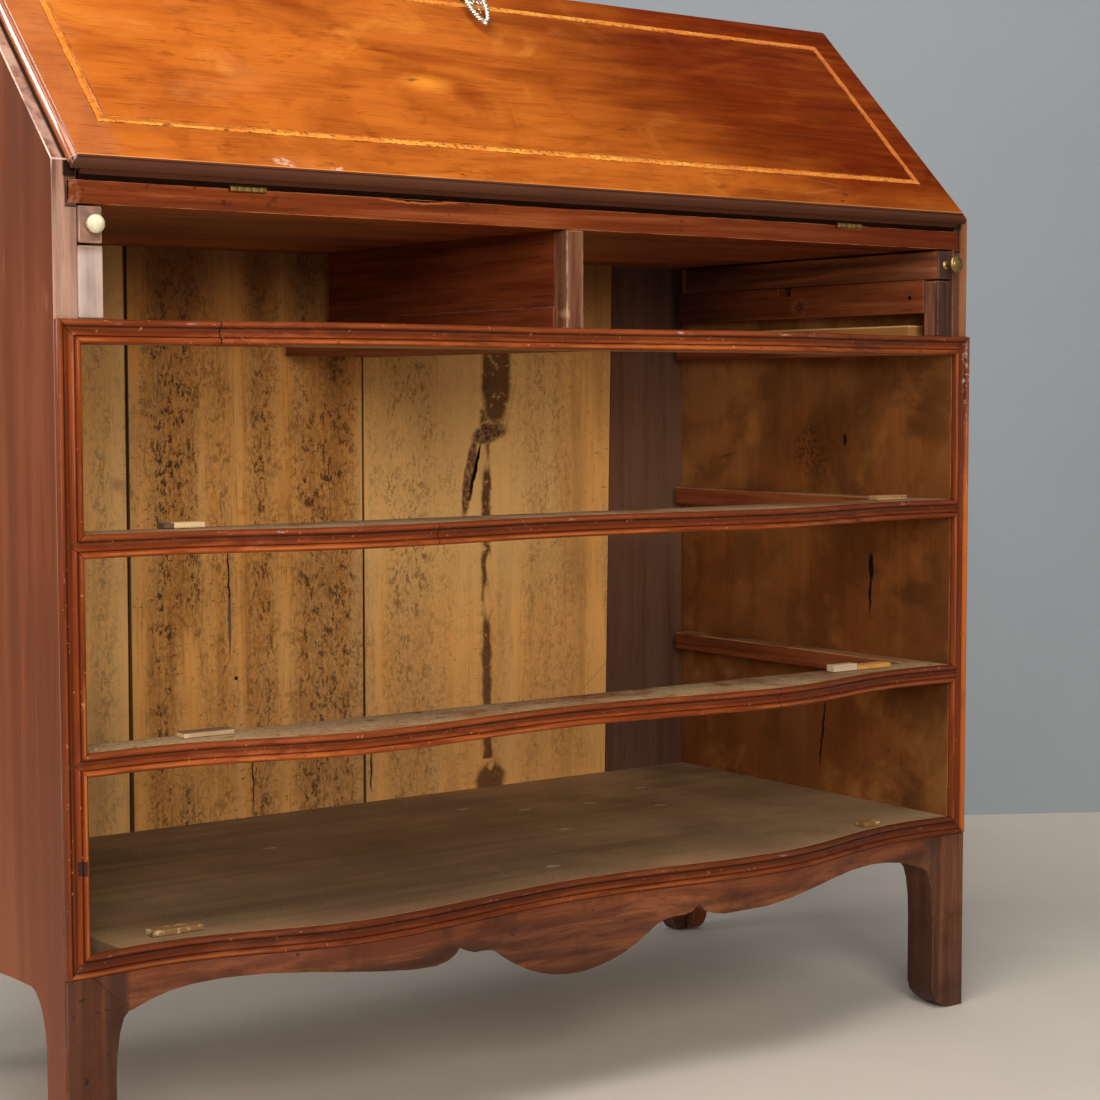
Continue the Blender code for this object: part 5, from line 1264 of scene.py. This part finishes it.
class SECRETAIRE_OT_boards(bpy.types.Operator):
    """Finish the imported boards: case, gallery, runners, stops and back"""

    bl_idname = "secretaire.boards"
    bl_label = "Boards"

    def execute(self, context):
        runners = [name for name in frame["nodes"] if name.startswith(("runner_", "loper_guide"))]
        stops = [name for name in frame["nodes"] if name.startswith("stop_")]
        blocks = ("divider_post", "filler_block_left", "filler_block_right", "loper_left", "loper_right")
        top = plain_finish("top_wood", "X", tone(138, 66, 32), tone(170, 92, 48), 0.12, (0.30, 0.42), 0.03)
        writing = plain_finish("writing_wood", "X", tone(136, 70, 34), tone(176, 102, 58), 0.05, (0.5, 0.62), 0.02)
        divider = plain_finish("divider_wood", "Y", tone(106, 44, 16), tone(140, 68, 32), 0.0, (0.5, 0.65), 0.02)
        gallery = plain_finish("gallery_wood", "Z", tone(140, 74, 42), tone(178, 108, 68), 0.12, (0.36, 0.5), 0.012)
        rear_foot = plain_finish("rear_foot_wood", "X", tone(96, 62, 42), tone(130, 92, 66), 0.0, (0.6, 0.75), 0.012)
        for recipe, names, width in (
            (side_finish, ("side_left", "side_right"), None),
            (rail_finish, ("rail_1", "rail_2", "rail_3", "hinge_rail"), None),
            (pine_finish, ("back_board_1", "back_board_2", "back_board_3"), 0.0006),
            (dark_pine_finish, ("back_board_4",), 0.0006),
            (floor_finish, ("bottom_board",), None),
            (runner_finish, runners, None),
            (stop_finish, stops, 0.0006),
            (block_finish, blocks, None),
            (top, ("top_board",), None),
            (writing, ("writing_board",), None),
            (divider, ("divider_board",), None),
            (gallery, ("gallery_rack", "inner_drawer_1", "inner_drawer_2"), 0.0005),
            (rear_foot, ("rear_foot_left", "rear_foot_right"), None),
        ):
            finishes = (recipe(False), recipe(True))
            for name in names:
                finish_board(name, finishes, width)
        return {"FINISHED"}


class SECRETAIRE_OT_fall(bpy.types.Operator):
    """Make the polished fall with its moulded lip, and finish its stringing"""

    bl_idname = "secretaire.fall"
    bl_label = "Fall"

    def execute(self, context):
        piece = refined("fall_panel", (fall_finish(False), fall_finish(True)), 0.0006, 2, 42.0, 42.0)
        for face in piece.data.polygons:
            if 0.12 < face.normal.dot(OUTWARD) < 0.985 and face.normal.dot(SLOPE) > -0.1:
                face.material_index = 1
        line = frame["nodes"]["fall_inlay"]
        only(line)
        bpy.ops.object.shade_flat()
        covered(line, stringing_finish())
        return {"FINISHED"}


class SECRETAIRE_OT_mouldings(bpy.types.Operator):
    """Make the smooth mouldings round the long drawer bays"""

    bl_idname = "secretaire.mouldings"
    bl_label = "Mouldings"

    def execute(self, context):
        level = rail_moulding_finish()
        upright = stile_moulding_finish()
        for material, names in (
            (level, (*RAIL_BOTTOMS, "base_moulding")),
            (upright, ("stile_moulding_left", "stile_moulding_right")),
        ):
            for node in names:
                refined(node, (material,), 0.0004, 1, 48.0, 50.0)
        return {"FINISHED"}


class SECRETAIRE_OT_apron(bpy.types.Operator):
    """Make the serpentine apron and the two front bracket feet"""

    bl_idname = "secretaire.apron"
    bl_label = "Apron and feet"

    def execute(self, context):
        finishes = (apron_finish(False), apron_finish(True))
        for node in ("apron", "front_foot_left", "front_foot_right"):
            refined(node, finishes, 0.0010, 2, 45.0, 30.0)
        return {"FINISHED"}


class SECRETAIRE_OT_knobs(bpy.types.Operator):
    """Turn the two unlike loper knobs, one of bone and one of brass"""

    bl_idname = "secretaire.knobs"
    bl_label = "Loper knobs"

    def execute(self, context):
        ball = [
            (0.0, 0.0), (0.0, 0.55), (0.05, 0.60), (0.10, 0.56), (0.14, 0.44), (0.20, 0.40), (0.26, 0.44),
            (0.30, 0.58),
            *(
                (0.64 - 0.36 * math.cos(math.pi * step / 14), math.sin(math.pi * step / 14))
                for step in range(3, 14)
            ),
            (0.985, 0.16), (1.0, 0.10), (1.0, 0.0),
        ]
        disc = [
            (0.0, 0.0), (0.0, 0.52), (0.04, 0.56), (0.09, 0.50), (0.13, 0.34), (0.24, 0.28), (0.44, 0.27),
            (0.56, 0.31), (0.64, 0.44), (0.70, 0.72), (0.745, 0.94), (0.78, 1.0), (0.83, 0.985), (0.87, 0.90),
            (0.89, 0.80),
            (0.895, 0.72), (0.925, 0.66), (0.955, 0.48), (0.98, 0.26), (0.99, 0.12), (1.0, 0.0),
        ]
        yellow = blended(tuple(fittings().brass), tone(150, 136, 98), 0.5)
        brass = metal_finish("knob_brass", yellow, tone(92, 72, 42), (0.40, 0.6), 0.7)
        for node, body, slot, profile, material in (
            ("loper_knob_left", "loper_l", "bone", ball, bone_finish()),
            ("loper_knob_right", "loper_r", "brass", disc, brass),
        ):
            low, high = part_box(node)
            centre = (low + high) / 2
            reach, radius = high.y - low.y, (high.x - low.x) / 2
            points = [(share * reach, turn * radius) for share, turn in profile]
            knob = spun(node + "_fine", points, Vector((centre.x, high.y, centre.z)))
            covered(knob, material)
            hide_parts(node)
            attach(knob, body)
        return {"FINISHED"}


def slotted_head(radius, height, centre, facing, turn):
    """A countersunk screw head with its slot, facing along a unit vector."""
    head = primitive("cylinder", vertices=24, radius=radius, depth=height)
    eased(head, height * 0.3, 2, 40)
    groove = (radius * 2.4, radius * 0.30, height * 0.8)
    cutter = primitive("cube", groove, (0, 0, height * 0.45), size=1)
    run_modifier(head, "BOOLEAN", operation="DIFFERENCE", object=cutter, solver="EXACT")
    bpy.data.objects.remove(cutter)
    spin = Matrix.Rotation(turn, 4, "Z")
    stand = Vector((0, 0, 1)).rotation_difference(facing).to_matrix().to_4x4()
    head.data.transform(Matrix.Translation(centre) @ stand @ spin)
    return head


class SECRETAIRE_OT_hinges(bpy.types.Operator):
    """Make the butt hinges with their screws"""

    bl_idname = "secretaire.hinges"
    bl_label = "Hinges"

    def execute(self, context):
        brass = metal_finish("hinge_brass", tone(184, 152, 88), tone(92, 66, 34), (0.30, 0.5), 0.5)
        screw = metal_finish("screw_brass", tone(166, 134, 80), tone(60, 44, 26), (0.3, 0.5), 0.6, 300.0)
        pitch, stagger = 0.0112, 0.0028
        for side, sign in (("left", -1), ("right", 1)):
            for leaf, body, rise, facing in (
                ("hinge_rail_leaf_", "case", Vector((0, 1, 0)), Vector((0, 0, 1))),
                ("hinge_fall_leaf_", "fall", SLOPE, -OUTWARD),
            ):
                node = leaf + side
                refined(node, (brass,), 0.00025, 2, 50.0, 40.0)
                low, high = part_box(node)
                middle = (low.x + high.x) / 2
                heads = []
                for index in range(3):
                    across = Vector((middle + (index - 1) * pitch, 0, 0))
                    back = 0.0105 + (stagger if index == 1 else 0.0)
                    centre = FALL_HINGE + across + rise * back - facing * 0.0003
                    turn = 0.4 + index * 1.1 + sign
                    heads.append(slotted_head(fittings().screw_head, 0.0004, centre, facing, turn))
                group = joined(heads, node + "_screws")
                covered(group, screw)
                smoothed(group, 35)
                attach(group, body)
        return {"FINISHED"}


def twisted_strands(path, reach, turns, segments):
    """Two strands wound round each other along a path, as a list of point lists."""
    lengths = [0.0]
    for start, stop in zip(path, path[1:]):
        lengths.append(lengths[-1] + (stop - start).length)
    strands = [[], []]
    side = Vector((1, 0, 0))
    for index in range(segments + 1):
        want = lengths[-1] * index / segments
        leg = max(0, min(len(path) - 2, next((i for i, v in enumerate(lengths) if v >= want), len(path) - 1) - 1))
        share = (want - lengths[leg]) / max(lengths[leg + 1] - lengths[leg], 1e-9)
        point = path[leg].lerp(path[leg + 1], share)
        tangent = (path[leg + 1] - path[leg]).normalized()
        across = side - tangent * side.dot(tangent)
        if across.length < 1e-4:
            across = Vector((0, 1, 0)) - tangent * tangent.y
        across.normalize()
        up = tangent.cross(across)
        angle = math.tau * turns * index / segments
        for number in range(2):
            turn = angle + math.pi * number
            strands[number].append(point + (across * math.cos(turn) + up * math.sin(turn)) * reach)
    return strands


def wire(name, points, radius):
    """A round wire along points, made a mesh."""
    curve = bpy.data.curves.new(name, "CURVE")
    curve.dimensions = "3D"
    curve.bevel_depth = radius
    curve.bevel_resolution = 3
    curve.use_fill_caps = True
    spline = curve.splines.new("POLY")
    spline.points.add(len(points) - 1)
    for place, point in zip(spline.points, points):
        place.co = (*point, 1.0)
    piece = bpy.data.objects.new(name, curve)
    bpy.context.scene.collection.objects.link(piece)
    only(piece)
    bpy.ops.object.convert(target="MESH")
    return bpy.context.view_layer.objects.active


class SECRETAIRE_OT_key(bpy.types.Operator):
    """Make the key, its twisted and beaded drop, and finish the lock"""

    bl_idname = "secretaire.key"
    bl_label = "Key and lock"

    def execute(self, context):
        silver = metal_finish("key_silver", tuple(fittings().silver), tone(96, 84, 66), (0.24, 0.42), 0.55, 420.0)
        steel = metal_finish("bolt_steel", tone(150, 146, 138), tone(84, 66, 50), (0.3, 0.5), 0.5, 120.0)
        brass = metal_finish("lock_brass", tuple(fittings().brass), tone(100, 72, 38), (0.3, 0.5), 0.6, 90.0)
        refined("key", (silver,), 0.0002, 2, 50.0, 40.0)
        pivot = Vector((0, -0.031238, 1.020855))
        drop = Vector((0, -0.60182, -0.79864))
        face = Vector((0, -0.79864, 0.60182))
        side = Vector((1, 0, 0))

        def at(across, down):
            return pivot + side * across + drop * down

        strand = fittings().strand
        pieces = []
        steps = 48
        for sign in (-1, 1):
            path = []
            for index in range(steps + 1):
                turn = math.pi * index / steps
                reach = (1 - math.cos(turn)) / 2
                swell = math.sin(turn) * (1 + 0.30 * math.cos(turn))
                path.append(at(sign * (0.0016 + 0.0082 * swell), 0.0050 + 0.0395 * reach))
            for points in twisted_strands(path, strand * 0.95, 7.5 * sign, 150):
                pieces.append(wire("strand", points, strand))
            for index in range(1, 12):
                spot = path[int(index / 12 * steps)] + face * strand * 1.75
                pieces.append(primitive("uv_sphere", location=spot, segments=12, ring_count=8, radius=strand * 0.72))
            curl = []
            for index in range(25):
                share = index / 24
                angle = math.radians(-80 + 400 * share)
                radius = 0.0032 * (1 - 0.62 * share)
                curl.append(at(sign * (0.0036 + radius * math.cos(angle)), 0.0205 - radius * math.sin(angle)))
            pieces.append(wire("curl", curl, strand * 0.7))
        for down, radius in ((0.0300, 0.0013), (0.0335, 0.0010), (0.0445, 0.0019), (0.0480, 0.0027)):
            pieces.append(
                primitive("uv_sphere", (1, 1, 0.94), at(0, down), segments=20, ring_count=12, radius=radius)
            )
        sideways = (0, math.pi / 2, 0)
        barrel = primitive("cylinder", location=pivot, vertices=28, radius=0.0021, depth=0.0050, rotation=sideways)
        eased(barrel, 0.0004, 2, 40)
        neck = primitive("cube", (0.0044, 0.0040, 0.0023), size=1)
        eased(neck, 0.0005, 3, 40)
        turn = Matrix((side, -drop, face)).transposed().to_4x4()
        neck.data.transform(Matrix.Translation(at(0, 0.0036)) @ turn)
        hanging = joined([*pieces, barrel, neck], "key_drop")
        covered(hanging, silver)
        smoothed(hanging, 50)
        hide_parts("key_bow")
        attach(hanging, "key_drop")
        finish_board("lock_case", (brass,), 0.0003)
        finish_board("lock_bolt", (steel,), 0.0003)
        return {"FINISHED"}


class SECRETAIRE_OT_trim(bpy.types.Operator):
    """Add the small things: nails in the back, dark strips of painted shadow in its seams, the split's plug and the
    second stop strip
    """

    bl_idname = "secretaire.trim"
    bl_label = "Nails and slips"

    def execute(self, context):
        radius = fittings().nail_head
        heads = []
        boards = [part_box(f"back_board_{number}") for number in range(1, 5)]
        rear = max(boards[0][1].y, boards[1][1].y)
        for number, (low, high) in enumerate(boards, 1):
            for share in (0.18, 0.5, 0.82) if high.x - low.x > 0.12 else (0.5,):
                across = low.x + (high.x - low.x) * share
                for level in (low.z + 0.011, 0.519, 0.792, high.z - 0.009):
                    spot = Vector((across + 0.004 * math.sin(level * 90 + number), rear, level))
                    heads.append(
                        primitive("uv_sphere", (1, 0.16, 1.0), spot, segments=14, ring_count=8, radius=radius)
                    )
        spot = (-0.1154, BACK_FACE - 0.0002, 0.3461)
        heads.append(primitive("uv_sphere", (0.9, 0.45, 0.9), spot, segments=16, ring_count=8, radius=radius))
        nails = joined(heads, "back_nails")
        covered(nails, metal_finish("nail_iron", tone(84, 72, 64), tone(52, 34, 24), (0.5, 0.7), 0.7, 300.0))
        smoothed(nails, 60)
        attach(nails, "case")
        # Dark strips in the seams of the back: painted shadow where the gaps look black.
        seam_shadow = Finish("seam_painted_shadow")
        grain = seam_shadow.place.noise(240.0, 4.0, 0.7)
        shades = grain.ramp([(0.35, tone(10, 7, 5)), (0.7, tone(46, 32, 22))])
        seam_shadow.surface(shades, grain.remap(0.3, 0.7, 0.85, 0.98), grain, 0.5, 0.0008)
        strips = []
        for left, right in zip(boards, boards[1:]):
            bottom, top = max(left[0].z, right[0].z), min(left[1].z, right[1].z)
            size = (right[0].x - left[1].x - 0.0001, 0.0064, top - bottom - 0.004)
            spot = ((left[1].x + right[0].x) / 2, BACK_FACE + 0.0062, (bottom + top) / 2)
            strips.append(primitive("cube", size, spot, size=1))
            eased(strips[-1], 0.0002, 1)
        filling = joined(strips, "seam_painted_shadow")
        covered(filling, seam_shadow.material)
        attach(filling, "case")
        pale = stop_finish(False)
        low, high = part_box("stop_3_right")
        for name, size, spot, width in (
            ("split_plug", (0.0030, 0.0010, 0.044), (-0.1222, BACK_FACE - 0.0004, 0.407), 0.0003),
            (
                "stop_3_slip", (0.0320, 0.0110, high.z - low.z + 0.0022),
                (low.x - 0.0165, low.y + 0.0062, (low.z + high.z) / 2 + 0.0012), 0.0005,
            ),
        ):
            slip = primitive("cube", size, spot, size=1)
            slip.name = name
            eased(slip, width, 2)
            covered(slip, pale)
            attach(slip, "case")
        return {"FINISHED"}


def area_lamp(name, place, target, size, power, shade):
    data = bpy.data.lights.new(name, "AREA")
    data.shape = "SQUARE"
    data.size = size
    data.energy = power
    data.color = shade
    lamp = bpy.data.objects.new(name, data)
    lamp.location = place
    lamp.rotation_euler = (Vector(target) - Vector(place)).to_track_quat("-Z", "Y").to_euler()
    bpy.context.scene.collection.objects.link(lamp)
    return lamp


def linked(tree, kind, *sources, **settings):
    """A new shader node with these outputs linked to its first inputs."""
    item = tree.nodes.new(kind)
    for name, value in settings.items():
        setattr(item, name, value)
    for number, source in enumerate(sources):
        tree.links.new(source, item.inputs[number])
    return item.outputs[0] if len(item.outputs) else item


class SECRETAIRE_OT_stage(bpy.types.Operator):
    """Set the floor, the wall, the lamps, the even light and the camera"""

    bl_idname = "secretaire.stage"
    bl_label = "Stage"

    def execute(self, context):
        stage = context.scene.secretaire_stage
        for name, shade, scale in (("floor", tuple(stage.floor), 3.0), ("wall", tuple(stage.wall), 1.2)):
            finish = Finish("studio_" + name)
            grit = finish.place.noise(60.0, 3.0, 0.6)
            cloud = finish.place.noise(scale, 4.0, 0.6).remap(0.3, 0.7, 0.0, 0.5)
            finish.surface(cloud.mix(shade, darker(shade, 0.88)), grit.remap(0.3, 0.7, 0.7, 0.85), grit, 0.05, 0.002)
            sheet = primitive("plane", size=16)
            sheet.name = "studio_" + name
            if name == "wall":
                along = Vector((0.864, -0.503, 0)).normalized()
                up = Vector((0, 0, 1))
                turn = Matrix((along, up, along.cross(up))).transposed().to_4x4()
                sheet.data.transform(Matrix.Translation(Vector((0.95, 0.72, 0)) + up * 8) @ turn)
                behind = finish.tree.nodes.new("ShaderNodeNewGeometry").outputs["Backfacing"]
                clear = linked(finish.tree, "ShaderNodeBsdfTransparent")
                blend = linked(finish.tree, "ShaderNodeMixShader", behind, finish.shader.outputs[0], clear)
                finish.tree.links.new(blend, finish.end.inputs["Surface"])
            covered(sheet, finish.material)
            sheet.visible_shadow = name == "floor"
        area_lamp("key_lamp", (-1.75, -3.3, 1.75), (0.05, 0, 0.55), 1.8, stage.key_power, (1.0, 0.97, 0.93))
        area_lamp("side_lamp", (-2.7, 0.9, 2.2), (-0.4, 0.0, 0.8), 1.3, stage.side_power, (1.0, 0.98, 0.96))
        gleam = area_lamp("gleam_lamp", (-1.95, 0.65, 2.35), (-0.48, -0.1, 0.9), 1.1, stage.gleam_power, (1, 1, 1))
        gleam.visible_diffuse = False
        area_lamp("top_lamp", (-1.0, -0.7, 2.9), (0.0, 0.0, 0.6), 1.5, stage.top_power, (1.0, 0.98, 0.96))
        world = bpy.data.worlds.new("studio_light")
        context.scene.world = world
        world.use_nodes = True
        tree = world.node_tree
        tree.nodes.clear()
        lights = []
        for shade, strength in (((0.93, 0.96, 1.0), stage.ambient), (tuple(stage.wall), 1.0)):
            light = tree.nodes.new("ShaderNodeBackground")
            light.inputs[0].default_value = (*shade, 1)
            light.inputs[1].default_value = strength
            lights.append(light.outputs[0])
        rays = tree.nodes.new("ShaderNodeLightPath").outputs
        seen = linked(
            tree, "ShaderNodeMath", rays["Is Camera Ray"], rays["Is Transmission Ray"], operation="MAXIMUM"
        )
        seen = linked(tree, "ShaderNodeMath", seen, rays["Is Glossy Ray"], operation="MAXIMUM")
        linked(tree, "ShaderNodeOutputWorld", linked(tree, "ShaderNodeMixShader", seen, *lights))
        data = bpy.data.cameras.new("camera")
        data.sensor_width = 36
        data.lens = stage.lens
        data.clip_start = 0.05
        data.clip_end = 60
        camera = bpy.data.objects.new("camera", data)
        right = Vector((0.80520848, -0.59298955, -0.00164491))
        up = Vector((0.04211646, 0.05442174, 0.99762943))
        forward = Vector((0.59149431, 0.80336895, -0.06879547))
        turn = Matrix((right, up, -forward)).transposed().to_4x4()
        camera.matrix_world = Matrix.Translation((-1.2105, -1.80415, 0.6352)) @ turn
        context.scene.collection.objects.link(camera)
        context.scene.camera = camera
        context.scene.view_settings.view_transform = "Standard"
        return {"FINISHED"}


class SECRETAIRE_PT_panel(bpy.types.Panel):
    """Lists the pieces in the order that they are made"""

    bl_idname = "SECRETAIRE_PT_panel"
    bl_label = "Secretaire"
    bl_space_type = "VIEW_3D"
    bl_region_type = "UI"
    bl_category = "Secretaire"

    def draw(self, context):
        layout = self.layout
        for group in (
            context.scene.secretaire_woods,
            context.scene.secretaire_fittings,
            context.scene.secretaire_stage,
        ):
            column = layout.column()
            for name in group.__annotations__:
                column.prop(group, name)
        for step in STEPS:
            layout.operator(step.bl_idname)


STEPS = (
    SECRETAIRE_OT_boards,
    SECRETAIRE_OT_fall,
    SECRETAIRE_OT_mouldings,
    SECRETAIRE_OT_apron,
    SECRETAIRE_OT_knobs,
    SECRETAIRE_OT_hinges,
    SECRETAIRE_OT_key,
    SECRETAIRE_OT_trim,
    SECRETAIRE_OT_stage,
)
GROUPS = (SecretaireWoods, SecretaireFittings, SecretaireStage)


def register():
    for item in (*GROUPS, *STEPS, SECRETAIRE_PT_panel):
        bpy.utils.register_class(item)
    bpy.types.Scene.secretaire_woods = bpy.props.PointerProperty(type=SecretaireWoods)
    bpy.types.Scene.secretaire_fittings = bpy.props.PointerProperty(type=SecretaireFittings)
    bpy.types.Scene.secretaire_stage = bpy.props.PointerProperty(type=SecretaireStage)


def unregister():
    for name in ("secretaire_stage", "secretaire_fittings", "secretaire_woods"):
        delattr(bpy.types.Scene, name)
    for item in (SECRETAIRE_PT_panel, *reversed(STEPS), *reversed(GROUPS)):
        bpy.utils.unregister_class(item)


def main():
    register()
    for step in STEPS:
        group, action = step.bl_idname.split(".")
        getattr(getattr(bpy.ops, group), action)()


if __name__ == "__main__":
    main()
